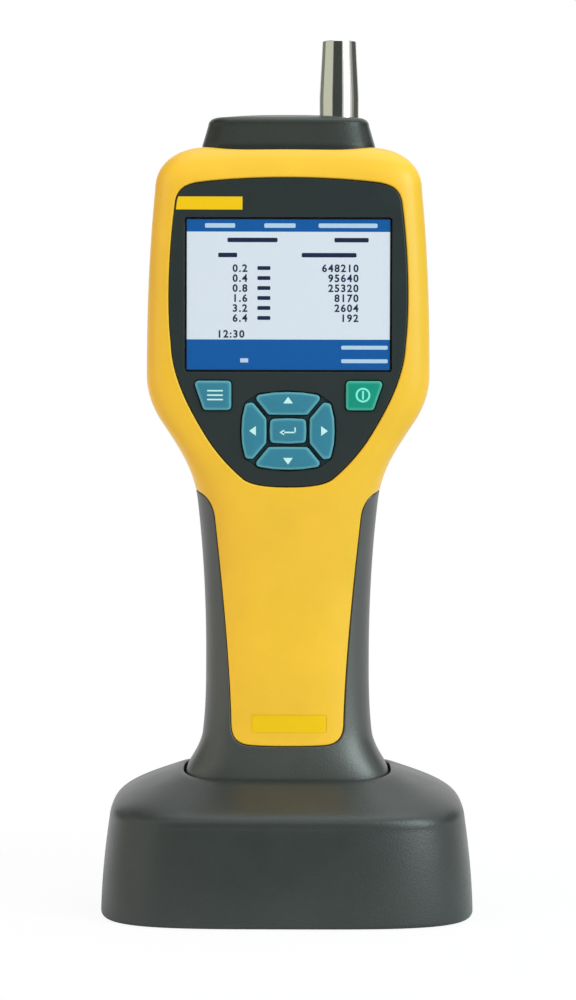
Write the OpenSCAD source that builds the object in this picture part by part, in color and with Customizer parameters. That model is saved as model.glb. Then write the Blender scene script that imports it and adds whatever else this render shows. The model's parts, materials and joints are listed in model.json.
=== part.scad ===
// Handheld airborne particle counter standing in its charging dock.
// The instrument draws air through a steel inlet, counts particles in a laser
// chamber and shows the counts above a seven-key pad.
// Frame: +Z up, the display faces -Y, the origin is on the table under the
// middle of the dock. All sizes are millimetres.

/* [Head] */
// Widest width of the head
head_w = 97; // [96:0.5:99]
// Height of the widest place above the table
head_wide_z = 186; // [184:0.5:188]
// Height of the flat top under the cap
head_top_z = 264.4; // [264:0.1:265]
// Radius of the two top corners
head_corner_r = 15; // [13:0.5:15]
// Distance from the middle plane to the front of the head
head_front = 25.1; // [24.9:0.1:25.5]
// Distance from the middle plane to the back of the head
head_back = 27; // [26:0.5:29]
// Wall of the mouldings
wall_t = 2.2; // [2:0.1:2.4]

/* [Grip] */
// Narrowest width of the grip
grip_w = 56.6; // [56:0.2:58]
// Distance from the middle plane to the front of the grip
grip_front = 19.5; // [19:0.5:20.5]
// Distance from the middle plane to the back of the grip
grip_back = 20; // [19.5:0.5:21]
// Width of the flared foot
foot_w = 70.6; // [69:0.2:70.8]
// Height of the foot's underside, where it stands in the dock
foot_z = 33; // [32.5:0.5:33]

/* [Front] */
// Depth position of the bezel's face
bezel_face = 24.2; // [24.2:0.1:24.4]
// Thickness of the bezel plate
bezel_t = 2.4; // [2.4:0.1:2.6]
// Width of the display's picture
display_w = 70.4; // [69:0.2:70.6]
// Height of the display's picture
display_h = 52.4; // [51:0.2:52.6]
// Height of the middle of the display
display_z = 213.3; // [213:0.1:213.6]
// Height of the middle of the round key group
pad_z = 167.1; // [166.8:0.1:167.3]
// Travel of a key
key_travel = 0.9; // [0.5:0.1:0.9]
// How far a key stands above the bezel
key_rise = 1.0; // [0.9:0.1:1.3]
// Gap round a key
key_gap = 0.3; // [0.2:0.05:0.4]

/* [Cap and inlet] */
// Width of the cap at its foot
cap_w = 59.8; // [58:0.2:60.4]
// Depth of the cap at its foot
cap_d = 39; // [37:0.5:40]
// Height of the middle of the cap's crown
cap_top_z = 275.6; // [275.2:0.2:276.4]
// Sideways place of the inlet
inlet_x = 17.4; // [16:0.2:18]
// Height of the inlet's mouth
inlet_top_z = 301; // [297:0.5:306]
// Outer radius at the mouth
inlet_mouth_r = 5.9; // [5.8:0.05:6.2]
// Outer radius at the cap
inlet_base_r = 6.86; // [6.7:0.02:7]
// Radius of the straight bore at the mouth
inlet_bore_r = 5; // [4.6:0.1:5.2]

/* [Dock] */
// Width of the dock at the table
dock_w = 128.6; // [127:0.2:130]
// Depth of the dock at the table
dock_d = 92; // [90:0.5:94]
// Height of the wall's top, where the shoulder starts
dock_wall_z = 34; // [33.5:0.5:34.5]
// Height of the rim beside the instrument
dock_side_z = 50.4; // [50:0.2:51]
// Height of the rim in front of the instrument
dock_front_z = 48.2; // [47.6:0.2:49]
// Wall of the dock's shell
dock_t = 2.6; // [2.4:0.1:2.8]
// Width of the well at the rim
well_w = 72; // [71.8:0.2:72.4]
// Depth of the well at the rim
well_d = 48; // [47.6:0.2:48.4]

/* [Hidden] */

yellow = [0.95, 0.73, 0.17];
charcoal = [0.22, 0.23, 0.22];
bezel_grey = [0.17, 0.19, 0.18];
teal = [0.2, 0.5, 0.6];
dark_teal = [0.08, 0.19, 0.23];
green = [0.06, 0.58, 0.45];
steel = [0.78, 0.78, 0.76];
brass = [0.78, 0.62, 0.3];
board_green = [0.1, 0.35, 0.2];
black = [0.07, 0.07, 0.08];
white = [0.9, 0.9, 0.88];

e = 0.01;
ring_points = 40;
inner_points = 28;
exact = 64;
coarse = 14;

// ---- Curves -------------------------------------------------------------

// A cubic between two stations [height, value, slope].
function between(z, a, b) =
    let (h = b[0] - a[0], t = (z - a[0]) / h, t2 = t * t, t3 = t2 * t)
    (2 * t3 - 3 * t2 + 1) * a[1] + (t3 - 2 * t2 + t) * h * a[2]
    + (3 * t2 - 2 * t3) * b[1] + (t3 - t2) * h * b[2];

// The value of a track of stations at height z.
function track(stations, z) =
    let (i = max([for (k = [0:len(stations) - 2]) if (k == 0 || z >= stations[k][0]) k]))
    between(z, stations[i], stations[i + 1]);

// Points of a cubic curve from p[0] to p[3], without its last point.
function bend(p, steps) = [
    for (i = [0:steps - 1])
        let (t = i / steps, u = 1 - t)
        u * u * u * p[0] + 3 * u * u * t * p[1] + 3 * u * t * t * p[2] + t * t * t * p[3]
];
function bends(curves, steps) = [for (c = curves) each bend(c, steps)];

// One half of an outline, from its top to its bottom, closed by its mirror.
function mirrored(half) = concat(half, [
    for (i = [len(half) - 1:-1:0]) if (half[i][0] > e) [-half[i][0], half[i][1]]
]);

// A point of a plan section: half width w, depth f in front and b behind,
// and n, which runs from 2 for an ellipse to 6 for nearly a rectangle.
function plan_point(a, w, f, b, n) =
    let (c = cos(a), s = sin(a))
    [
        w * sign(c) * pow(abs(c), 2 / n),
        (s < 0 ? f : b) * sign(s) * pow(abs(s), 2 / n)
    ];
function plan(w, f, b, n, count) = [
    for (j = [0:count - 1]) plan_point(360 * j / count, w, f, b, n)
];
function lifted(points, z) = [for (p = points) [p[0], p[1], z]];

// A closed solid through a stack of rings that have the same number of points.
module loft(rings) {
    n = len(rings[0]);
    top = (len(rings) - 1) * n;
    polyhedron(
        [for (r = rings) each r],
        concat(
            [[for (j = [0:n - 1]) j], [for (j = [n - 1:-1:0]) top + j]],
            [for (i = [0:len(rings) - 2], j = [0:n - 1])
                let (a = i * n + j, b = i * n + (j + 1) % n) each [[a, a + n, b + n], [a, b + n, b]]]
        )
    );
}

// A moulding whose cuts follow its facets.
module freeform() {
    resize([0, 0, 0]) children();
}

// An outline drawn as seen from the front, given depth from y0 back to y1.
module from_front(y0, y1) {
    translate([0, y1, 0]) rotate([90, 0, 0]) linear_extrude(y1 - y0) children();
}

module block(low, high) {
    translate(low) cube([high[0] - low[0], high[1] - low[1], high[2] - low[2]]);
}

module rod_y(x, z, r, y0, y1, sides = exact) {
    translate([x, y0, z]) rotate([-90, 0, 0]) cylinder(r = r, h = y1 - y0, $fn = sides);
}

module rod_z(x, y, r, z0, z1, sides = exact) {
    translate([x, y, z0]) cylinder(r = r, h = z1 - z0, $fn = sides);
}

module rod_x(y, z, r, x0, x1) {
    translate([x0, y, z]) rotate([0, 90, 0]) cylinder(r = r, h = x1 - x0, $fn = exact);
}

// ---- Outer form of the instrument ---------------------------------------

corner_z = head_top_z - head_corner_r;
front_corner = 10;

// Side, front and back of the body, and the squareness of its section,
// each as stations [height, value, slope].
side_track = [
    [foot_z, foot_w / 2 - 0.3, 0],
    [48, foot_w / 2, -0.1],
    [52.5, foot_w / 2 - 1.95, -0.62],
    [62.5, grip_w / 2 + 1.05, -0.12],
    [90, grip_w / 2, 0],
    [143, grip_w / 2 + 2.9, 0.11],
    [157, head_w / 2 - 13.1, 0.5],
    [170, head_w / 2 - 5.1, 0.66],
    [head_wide_z, head_w / 2, 0],
    [corner_z, head_w / 2 - 2.85, -0.1]
];
front_track = [
    [foot_z, grip_front + 2.2, 0],
    [50, grip_front + 2.3, -0.1],
    [64, grip_front + 0.3, -0.05],
    [90, grip_front, 0],
    [112, grip_front + 0.2, 0.02],
    [146, head_front - 0.35, 0.06],
    [158, head_front, 0],
    [head_wide_z, head_front, 0],
    [corner_z, head_front, 0]
];
back_track = [
    [foot_z, grip_back + 1.7, 0],
    [50, grip_back + 1.8, -0.1],
    [64, grip_back + 0.2, 0],
    [90, grip_back, 0],
    [138, grip_back + 1, 0.1],
    [175, head_back - 0.6, 0.08],
    [head_wide_z, head_back, 0],
    [corner_z, head_back, 0]
];
square_track = [
    [foot_z, 4.2, 0],
    [60, 3.6, -0.03],
    [90, 3.1, 0],
    [138, 3.6, 0.03],
    [160, 6.6, 0.12],
    [head_wide_z, 8, 0.01],
    [corner_z, 8.2, 0]
];

// One ring of the body, t inside its outer face.
function body_ring(z, t, count) = lifted(
    plan(track(side_track, z) - t, track(front_track, z) - t, track(back_track, z) - t,
        track(square_track, z), count), z);

// One ring of the rounded top, at angle a from level.
function top_ring(a, t, count) =
    let (
        side = track(side_track, corner_z) - head_corner_r,
        front = track(front_track, corner_z) - front_corner,
        back = track(back_track, corner_z) - front_corner
    )
    lifted(
        plan(side + (head_corner_r - t) * cos(a), front + (front_corner - t) * cos(a),
            back + (front_corner - t) * cos(a), track(square_track, corner_z), count),
        corner_z + (head_corner_r - t) * sin(a));

outer_z = concat(
    [foot_z, 48, 50, 52.5, 55, 58, 63, 71, 80, 92, 105, 117, 128, 137, 143, 148],
    [for (z = [153:5:179]) z], [183, head_wide_z, 200, 218, 236, corner_z]);
inner_z = [foot_z + wall_t, 48, 53, 58, 64, 90, 115, 132, 146, 157, 172, head_wide_z, 220, corner_z];

// Depth of the outer face at a place seen from the back: [x, z].
function back_skin(p) =
    let (n = track(square_track, p[1]))
    track(back_track, p[1]) * pow(1 - pow(abs(p[0]) / track(side_track, p[1]), n), 1 / n);

module body_outer() {
    loft(concat([for (z = outer_z) body_ring(z, 0, ring_points)],
        [for (a = [18:18:90]) top_ring(a, 0, ring_points)]));
}

module body_inner(t) {
    loft(concat([for (z = inner_z) body_ring(z, t, inner_points)],
        [for (a = [30:30:90]) top_ring(a, t, inner_points)]));
}

// ---- Parting line between the yellow front and the charcoal back --------

part_y = 7;
neck_z = 146.6;
tongue_low_z = 58.9;
tongue_half = bends([
    [[60, 270], [60, 220], [60, 180], [60, neck_z + 2]],
    [[60, neck_z], [48, neck_z], [40, neck_z], [33, neck_z]],
    [[33, neck_z], [28.5, 146], [25.9, 142.5], [25.2, 138]],
    [[25.2, 138], [22.8, 115], [20, 88], [19.4, 66]],
    [[19.4, 66], [19.2, 62], [17.5, 59.8], [13.5, tongue_low_z + 0.4]],
    [[13.5, tongue_low_z + 0.4], [9, tongue_low_z], [4, tongue_low_z], [0, tongue_low_z]]
], 5);

module front_region() {
    from_front(-40, part_y) polygon(mirrored(concat(tongue_half, [[0, tongue_low_z]])));
}

// ---- Cap footprint -------------------------------------------------------

cap_low_z = 257;
cap_side_z = 271.5;
cap_draft = 2.2;
cap_round = 3.2;
cap_square = 5;

function cap_ring(z, inset) = lifted(
    plan(cap_w / 2 - inset, cap_d / 2 - inset, cap_d / 2 - inset, cap_square, ring_points), z);

module cap_outer() {
    crown = cap_top_z - cap_side_z - cap_round + 0.6;
    loft(concat(
        [cap_ring(cap_low_z, 0), cap_ring(head_top_z, 0)],
        [for (a = [0:30:60])
            cap_ring(cap_side_z + (cap_round - 0.6) * sin(a), cap_draft + cap_round * (1 - cos(a)))],
        [for (s = [0.98, 0.8, 0.4])
            lifted(plan(s * (cap_w / 2 - cap_draft - cap_round), s * (cap_d / 2 - cap_draft - cap_round),
                s * (cap_d / 2 - cap_draft - cap_round), cap_square - 2 * (1 - s), ring_points),
                cap_top_z - crown * s * s)]
    ));
}

module cap_hole() {
    loft([cap_ring(cap_low_z - 1, 0), cap_ring(head_top_z + 3, 0)]);
}

// ---- Bezel outline -------------------------------------------------------

bezel_half = concat(bends([
    [[0, 252.9], [15, 252.9], [26, 251.8], [31, 251.1]],
    [[31, 251.1], [35.5, 250.2], [37.8, 248.5], [38.4, 244.5]],
    [[38.4, 244.5], [40.6, 228], [41.2, 209], [39.8, 196.6]],
    [[39.8, 196.6], [39.4, 186.5], [35, 177], [28.8, 166.7]],
    [[28.8, 166.7], [25.5, 161], [20.5, 155], [14.8, 150.4]],
    [[14.8, 150.4], [11.5, 148.4], [6, 148], [0, 148]]
], 7), [[0, 148]]);

module bezel_outline() {
    polygon(mirrored(bezel_half));
}

bezel_back = bezel_t - bezel_face;
frame_w = 77;
frame_low = display_z - 28;
frame_high = display_z + 31;
frame_back = -18.8;
key_board_front = -18.1;
key_board_back = -16.9;

// ---- Key outlines, each about its own middle ----------------------------

menu_at = [-25, 179];
power_at = [25.3, 179];
menu_points = [[-5.36, 3.8], [4.4, 3.8], [4.4, -3.6], [-2.78, -3.6]];
arrow_points = [[-9.5, 11], [-5, 11.7], [0, 11.9], [5, 11.7], [9.5, 11], [6, 6.75], [0, 6.7], [-6, 6.75]];
wing_points = [[-14.5, 0], [-14.3, 4.2], [-13.4, 8.2], [-12.5, 8.3], [-8.65, 3.7], [-8.6, 0], [-8.65, -3.7], [-12.5, -8.3], [-13.4, -8.2], [-14.3, -4.2]];
enter_points = [[-4.8, 2.8], [0, 3.05], [4.8, 2.8], [4.95, 0], [4.8, -2.8], [0, -3.05], [-4.8, -2.8], [-4.95, 0]];
key_corner = 1.3;

module key_outline(points, grow = 0) {
    offset(r = key_corner + grow, $fn = 24) polygon(points);
}

key_low = -20.6;
flange_t = 0.7;
dome_h = 0.42;
plunger_y = key_board_front - dome_h - key_travel - 0.08;

// A key: its cap stands above the bezel, its flange stays behind the mat and
// its plunger presses one dome.
module key(at, points, middle) {
    face = -bezel_face - key_rise;
    from_front(face + 0.35, key_low) translate(at) key_outline(points);
    from_front(face, face + 0.35) translate(at) key_outline(points, -0.35);
    from_front(key_low, key_low + flange_t) translate(at) key_outline(points, 0.4);
    rod_y(middle[0], middle[1], 2, key_low, plunger_y);
}

function flipped(points) = [for (p = points) [p[0], -p[1]]];
function turned(points) = [for (p = points) [-p[0], p[1]]];
pad_at = [0, pad_z];
up_middle = [0, pad_z + 9.4];
down_middle = [0, pad_z - 9.4];
left_middle = [-11.3, pad_z];
right_middle = [11.3, pad_z];
menu_middle = menu_at + [0.4, 0.1];
power_middle = power_at + [-0.4, 0.1];

module key_holes(grow) {
    translate(menu_at) key_outline(menu_points, grow);
    translate(power_at) key_outline(turned(menu_points), grow);
    translate(pad_at) {
        key_outline(arrow_points, grow);
        key_outline(flipped(arrow_points), grow);
        key_outline(wing_points, grow);
        key_outline(turned(wing_points), grow);
        key_outline(enter_points, grow);
    }
}

// The round group's opening in the bezel.
module pad_outline(grow) {
    offset(r = key_corner + 0.4 + grow, $fn = 32) translate(pad_at) polygon([
        [-9.5, 11.1], [0, 12], [9.5, 11.1], [13.3, 8.5], [14.35, 4.2], [14.6, 0],
        [14.35, -4.2], [13.3, -8.5], [9.5, -11.1], [0, -12], [-9.5, -11.1],
        [-13.3, -8.5], [-14.35, -4.2], [-14.6, 0], [-14.35, 4.2], [-13.3, 8.5]
    ]);
}

// ---- Instrument mouldings ------------------------------------------------

// Screw posts that join the two halves, and standoffs of the board: [x, z].
screw_places = [[-41.2, 240], [41.2, 240], [-41.2, 191], [41.2, 191], [-21, 134], [21, 134]];
post_r = 2.5;
post_joint_y = 10;
board_places = [[-30, 249.5], [30, 249.5], [-35.2, 180], [35.2, 180]];
standoff_r = 2.3;
board_front = -14.6;
door_low_z = 60;
door_high_z = 124;
door_half = 17;
door_seat_y = 15.65;
door_screw_at = [0, door_high_z - 4.5];
tripod_z = 170;
cell_r = 9.2;
pack_low = 48;
pack_high = 116;
pack_y = 4;
filter_x = -26;
filter_y = 0;
filter_r = 9;

module door_region(gap) {
    from_front(door_seat_y, 40) offset(r = 5 - gap, $fn = 24)
        translate([-door_half + 5, door_low_z + 5])
            square([2 * door_half - 10, door_high_z - door_low_z - 10]);
}

// The hollow body with both halves still joined.
module body_shell() {
    difference() {
        body_outer();
        body_inner(wall_t);
    }
}

module front_housing() color(yellow) freeform() difference() {
    union() {
        intersection() {
            body_shell();
            front_region();
        }
        // Ledge that the bezel is bonded to, posts and standoffs.
        intersection() {
            body_inner(wall_t / 2);
            union() {
                difference() {
                    block([-60, bezel_back, 140], [60, bezel_back + 1.8, 262]);
                    from_front(-30, -10) offset(delta = -2.2) bezel_outline();
                }
                for (p = board_places) rod_y(p[0], p[1], standoff_r, bezel_back, board_front, coarse);
                for (p = screw_places) rod_y(p[0], p[1], post_r, -24, post_joint_y, coarse);
            }
        }
    }
    from_front(-40, bezel_back) bezel_outline();
    cap_hole();
    for (p = board_places) rod_y(p[0], p[1], 1, board_front - 4, board_front + 1, coarse);
    for (p = screw_places) rod_y(p[0], p[1], 1.35, -1, post_joint_y + 1, coarse);
    block([-frame_w / 2 - 0.2, bezel_back - 1, frame_low - 0.2],
        [frame_w / 2 + 0.2, frame_back + 0.2, frame_high + 0.2]);
}

module battery_shape(g) {
    for (x = [-cell_r, cell_r]) rod_z(x, pack_y, cell_r + g, pack_low, pack_high, 32);
    block([-cell_r, pack_y - cell_r - g, pack_low], [cell_r, pack_y + cell_r + g, pack_high]);
}

module rear_housing() color(charcoal) freeform() difference() {
    union() {
        difference() {
            body_shell();
            front_region();
        }
        intersection() {
            body_inner(wall_t / 2);
            union() {
                for (p = screw_places) rod_y(p[0], p[1], post_r + 0.5, post_joint_y, 40, coarse);
                rod_y(0, tripod_z, 7, 14, 40, 24);
                // Floor, two frames and a lid wall of the battery bay.
                block([-40, -13, pack_low - 1.5], [40, 40, pack_low]);
                difference() {
                    for (z = [58, 104]) block([-40, -13, z], [40, 40, z + 1.5]);
                    battery_shape(0.1);
                }
                block([-40, 4, 127], [40, 40, 128.5]);
                // Bridge that the door's screw enters.
                block([-30, door_seat_y - 2.2, 116.6], [30, door_seat_y, 127.5]);
                // Two cradles of the exhaust cartridge.
                difference() {
                    for (z = [175, 189]) block([-38, 2, z], [-14, 40, z + 1.5]);
                    rod_z(filter_x, filter_y, filter_r + 0.9, 160, 200, coarse * 2);
                }
            }
        }
    }
    cap_hole();
    door_region(0);
    rod_y(door_screw_at[0], door_screw_at[1], 1.35, 12, 17, coarse);
    for (p = screw_places) {
        rod_y(p[0], p[1], 1.5, 9, 40, coarse);
        rod_y(p[0], p[1], 2.8, back_skin(p) - 3.4, 60, 20);
    }
    rod_y(0, tripod_z, 4.65, 15, 60, 24);
    rod_y(0, tripod_z, 5.35, 24.6, 60, 24);
    // Outlet slots of the exhaust air.
    for (i = [0:4]) block([-35, 20, 171 + 4.6 * i], [-19, 40, 173 + 4.6 * i]);
    // Slots in front of the sounder.
    for (i = [-1:1]) block([17 + 6 * i, 20, 205], [19 + 6 * i, 40, 217]);
    // Opening for the charging contacts in the foot.
    block([-14, -6, foot_z - 1], [14, 6, foot_z + wall_t + 1]);
}

module battery_door() color(charcoal) freeform() difference() {
    intersection() {
        difference() {
            body_outer();
            body_inner(wall_t - 0.3);
        }
        door_region(0.15);
    }
    rod_y(door_screw_at[0], door_screw_at[1], 1.6, 0, 60, coarse);
    rod_y(door_screw_at[0], door_screw_at[1], 3.2, back_skin(door_screw_at) - 0.8, 60, 24);
    // Finger grooves of the door.
    for (i = [0:3]) block([-9, grip_back - 0.5, door_low_z + 8 + 4 * i], [9, 40, door_low_z + 10 + 4 * i]);
}

module top_cap() color(charcoal) freeform() difference() {
    cap_outer();
    block([-24, -14, cap_low_z - 1], [10, 14, cap_low_z + 11]);
    rod_z(inlet_x, 0, 8.3, cap_low_z - 1, 267.9, 40);
    rod_z(inlet_x, 0, inlet_base_r + 0.1, 250, 290, 40);
}

keypad_post_places = [[-22, 169.5], [22, 169.5]];

module front_bezel() color(bezel_grey) difference() {
    union() {
        from_front(-bezel_face, bezel_back) bezel_outline();
        for (p = keypad_post_places) rod_y(p[0], p[1], 1.8, bezel_back, key_board_front);
    }
    for (p = keypad_post_places) rod_y(p[0], p[1], 0.8, bezel_back, key_board_front + 1);
    block([-display_w / 2, -30, display_z - display_h / 2], [display_w / 2, -10, display_z + display_h / 2]);
    from_front(-30, -10) {
        pad_outline(0);
        translate(menu_at) key_outline(menu_points, key_gap);
        translate(power_at) key_outline(turned(menu_points), key_gap);
    }
}

// ---- Display -------------------------------------------------------------

window_gap = 0.1;
window_t = 1.0;

module display_window() color([0.6, 0.75, 0.8, 0.4]) block(
    [-display_w / 2 + window_gap, -bezel_face + 0.1, display_z - display_h / 2 + window_gap],
    [display_w / 2 - window_gap, -bezel_face + 0.1 + window_t, display_z + display_h / 2 - window_gap]);

module display_module() color(black) {
    glass_front = -bezel_face + 0.1 + window_t;
    block([-display_w / 2 + window_gap, glass_front, display_z - display_h / 2 + window_gap],
        [display_w / 2 - window_gap, bezel_back, display_z + display_h / 2 - window_gap]);
    difference() {
        block([-frame_w / 2, bezel_back, frame_low], [frame_w / 2, frame_back, frame_high]);
        // Step for the flexible lead at the lower edge.
        block([-16, frame_back - 1, frame_low - 1], [16, frame_back + 1, frame_low + 6]);
    }
}

// ---- Keys ----------------------------------------------------------------

mat_front = -23.4;
mat_back = -20.8;

module keypad_mat() color(dark_teal) difference() {
    union() {
        from_front(bezel_back, mat_back) intersection() {
            offset(r = -2.6) bezel_outline();
            translate([-40, 140]) square([80, frame_low - 0.4 - 140]);
        }
        from_front(mat_front, bezel_back) pad_outline(-0.1);
    }
    from_front(-30, -10) key_holes(key_gap);
    for (p = keypad_post_places) rod_y(p[0], p[1], 2, -30, -10);
}

module key_menu() color(teal) key(menu_at, menu_points, menu_middle);
module key_power() color(green) key(power_at, turned(menu_points), power_middle);
module key_up() color(teal) key(pad_at, arrow_points, up_middle);
module key_down() color(teal) key(pad_at, flipped(arrow_points), down_middle);
module key_left() color(teal) key(pad_at, wing_points, left_middle);
module key_right() color(teal) key(pad_at, turned(wing_points), right_middle);
module key_enter() color(teal) key(pad_at, enter_points, pad_at);

middles = [menu_middle, power_middle, up_middle, down_middle, left_middle, right_middle, pad_at];

// Snap domes, one under each plunger.
module key_domes() color(steel) for (m = middles)
    translate([m[0], key_board_front, m[1]]) rotate([90, 0, 0]) rotate_extrude($fn = 48)
        polygon([[0, 0.3], [1.2, 0.25], [2.4, 0], [2.4, 0.1], [1.2, 0.37], [0, dome_h]]);

module keypad_board() color(board_green) difference() {
    from_front(key_board_front, key_board_back) intersection() {
        offset(delta = -2.6) bezel_outline();
        translate([-40, 140]) square([80, frame_low - 0.4 - 140]);
    }
    for (p = keypad_post_places) rod_y(p[0], p[1], 0.9, -20, -10);
}

// Pan-head screw whose head stands behind head_y, with a cross recess.
module pan_screw(p, shank_r, shank_y, head_r, head_y, head_t) difference() {
    union() {
        rod_y(p[0], p[1], shank_r, shank_y, head_y);
        rod_y(p[0], p[1], head_r, head_y, head_y + head_t);
    }
    for (a = [0, 90]) translate([p[0], head_y + head_t / 2, p[1]]) rotate([0, a, 0])
        block([-head_r * 0.6, 0, -head_r * 0.12], [head_r * 0.6, head_t, head_r * 0.12]);
}

module keypad_screws() color(steel) for (p = keypad_post_places)
    pan_screw(p, 0.75, bezel_back + 0.4, 1.7, key_board_back, 1);

// ---- Circuit board -------------------------------------------------------

board_back = board_front + 1.6;

module main_board() {
    color(board_green) difference() {
        from_front(board_front, board_back) offset(r = 3, $fn = 24) polygon([
            [-31, 249], [31, 249], [34.4, 243], [34.4, 188], [35.4, 179], [23, 157],
            [-23, 157], [-35.4, 179], [-34.4, 188], [-34.4, 243]
        ]);
        for (p = board_places) rod_y(p[0], p[1], 1.2, -20, -10);
    }
    // Processor, memory and converter.
    color(black) {
        block([-31, board_back, 230], [-15, board_back + 1.4, 246]);
        block([-34, board_back, 212], [-26, board_back + 1.2, 222]);
        block([-14, board_back, 178], [-4, board_back + 1.2, 188]);
    }
    // Connectors to the keypad, the display and the battery.
    color(white) {
        block([-12, board_front - 1.2, 172], [12, board_front, 176.5]);
        block([-16, board_front - 2, 158], [16, board_front, 162]);
        block([-22, board_back, 158], [-10, board_back + 5, 165]);
    }
}

module board_screws() color(steel) for (p = board_places)
    pan_screw(p, 0.95, board_front - 3.6, 2.1, board_back, 1.4);

// ---- Sampling path -------------------------------------------------------

sensor_low = 206;
sensor_high = 244;
sensor_front = board_back + 1.6;
sensor_back = 13;
beam_z = 225;
view_r = 6;
spigot_r = 2.6;
spigot_bore = 1.5;

// Aluminium chamber: the air falls through it, the beam crosses it sideways
// and scattered light leaves through the round window at the back.
module sensor_block() color(steel) difference() {
    union() {
        block([inlet_x - 13, sensor_front, sensor_low], [inlet_x + 15, sensor_back, sensor_high]);
        for (z = [sensor_low + 5, sensor_high - 5])
            rod_y(inlet_x - 10, z, 2.2, board_back, sensor_front + 1);
        rod_z(inlet_x, 0, spigot_r, sensor_low - 7, sensor_low + 1);
    }
    rod_z(inlet_x, 0, spigot_bore, sensor_low - 8, sensor_high + 1);
    rod_z(inlet_x, 0, 4, beam_z - 7.4, beam_z + 7.4);
    rod_z(inlet_x, 0, 3.5, sensor_high - 8, sensor_high + 1);
    rod_x(0, beam_z, 2.5, inlet_x - 14, inlet_x + 16);
    rod_x(0, beam_z, 5, inlet_x - 14, inlet_x - 6);
    rod_x(0, beam_z, 5, inlet_x + 9, inlet_x + 16);
    rod_y(inlet_x, beam_z, view_r, 0, sensor_back + 1);
}

module laser_module() color(brass) {
    rod_x(0, beam_z, 5, inlet_x - 32, inlet_x - 6);
    rod_x(0, beam_z, 6.2, inlet_x - 28, inlet_x - 13);
    for (y = [-1.6, 0, 1.6]) rod_x(y, beam_z, 0.4, inlet_x - 37, inlet_x - 32);
}

module light_trap() color(black) {
    difference() {
        rod_x(0, beam_z, 5, inlet_x + 9, inlet_x + 21);
        translate([inlet_x + 8.9, 0, beam_z]) rotate([0, 90, 0])
            cylinder(r1 = 4.2, r2 = 0.4, h = 10, $fn = exact);
    }
    difference() {
        rod_x(0, beam_z, 7, inlet_x + 15, inlet_x + 17.5);
        rod_x(0, beam_z, 5, inlet_x + 14, inlet_x + 18);
    }
}

module detector_cover() color(black) {
    difference() {
        block([inlet_x - 11, sensor_back, beam_z - 11], [inlet_x + 11, sensor_back + 5, beam_z + 11]);
        block([inlet_x - 9, sensor_back - 1, beam_z - 9], [inlet_x + 9, sensor_back + 3.4, beam_z + 9]);
    }
    // Photodiode can in the window.
    rod_y(inlet_x, beam_z, 4.5, sensor_back - 2, sensor_back + 3.4);
}

probe_low_z = 262;

// Tapered steel inlet: a straight thin-walled mouth, then a cone down to the
// bore of the fitting.
module inlet_probe() color(steel) translate([inlet_x, 0, 0]) rotate_extrude($fn = 96) polygon([
    [inlet_bore_r, inlet_top_z], [inlet_mouth_r - 0.2, inlet_top_z], [inlet_mouth_r, inlet_top_z - 0.4],
    [inlet_base_r, 281.5], [inlet_base_r, 270], [4.6, 270], [4.6, probe_low_z],
    [2, probe_low_z], [2, 273], [inlet_bore_r, 283]
]);

module inlet_seal() color(black) translate([inlet_x, 0, 268.9]) rotate_extrude($fn = 48)
    translate([5.7, 0]) circle(r = 1.1, $fn = 24);

// Brass nut and stub between the probe and the chamber.
module inlet_fitting() color(brass) difference() {
    union() {
        rod_z(inlet_x, 0, 8, 263.4, 267.8);
        translate([inlet_x, 0, 255]) cylinder(r = 7.5, h = 8.4, $fn = 6);
        rod_z(inlet_x, 0, 5, sensor_high, 255);
        rod_z(inlet_x, 0, 3.5, sensor_high - 8, sensor_high);
    }
    rod_z(inlet_x, 0, 4.6, probe_low_z, 270);
    rod_z(inlet_x, 0, 1.8, sensor_high - 9, 263);
}

// ---- Air path below the chamber ------------------------------------------

hose_r = 3.6;
hose_turn = 7;
blower_x = inlet_x - 4;
blower_z = 180;
blower_r = 11.5;
cavity_r = 9.8;
blower_front = -8;
blower_back = 4;
wheel_r = 9;
shaft_r = 1.5;
running_gap = 0.05;
outlet_x = blower_x - 4;
hose_low_z = 152;

// Side-channel blower: both spigots open into the wheel's channel.
module blower_body() color(charcoal) difference() {
    union() {
        rod_y(blower_x, blower_z, blower_r, blower_front, blower_back);
        rod_z(inlet_x, 0, spigot_r, blower_z + 8, blower_z + 16);
        rod_z(outlet_x, 0, spigot_r, blower_z - 17, blower_z - 8);
        for (x = [-1, 1]) block([blower_x + x * 11.5 - 3, board_back, blower_z - 3],
            [blower_x + x * 11.5 + 3, blower_front + 2, blower_z + 3]);
    }
    rod_y(blower_x, blower_z, cavity_r, blower_front + 2, blower_back + 1);
    rod_y(blower_x, blower_z, shaft_r + running_gap, blower_front - 1, blower_back);
    rod_z(inlet_x, 0, spigot_bore, blower_z + 4, blower_z + 17);
    rod_z(outlet_x, 0, spigot_bore, blower_z - 18, blower_z - 4);
}

module blower_cover() color(steel) difference() {
    rod_y(blower_x, blower_z, blower_r, blower_back, blower_back + 2);
    rod_y(blower_x, blower_z, 2.4, blower_back - 1, blower_back + 3);
}

blade_count = 12;

// Bladed wheel on the motor's shaft.
module blower_wheel() color(steel) {
    rod_y(blower_x, blower_z, shaft_r, blower_front + 0.3, blower_back + 5);
    difference() {
        union() {
            rod_y(blower_x, blower_z, wheel_r, blower_back - 1.6, blower_back - 0.6);
            rod_y(blower_x, blower_z, 3.4, blower_front + 2.6, blower_back - 1);
            for (i = [0:blade_count - 1]) translate([blower_x, 0, blower_z]) rotate([0, 360 * i / blade_count, 0])
                block([3, blower_front + 3, -0.35], [wheel_r - 0.2, blower_back - 1, 0.35]);
        }
        rod_y(blower_x, blower_z, shaft_r - e, blower_front, blower_back + 1);
    }
}

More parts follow.
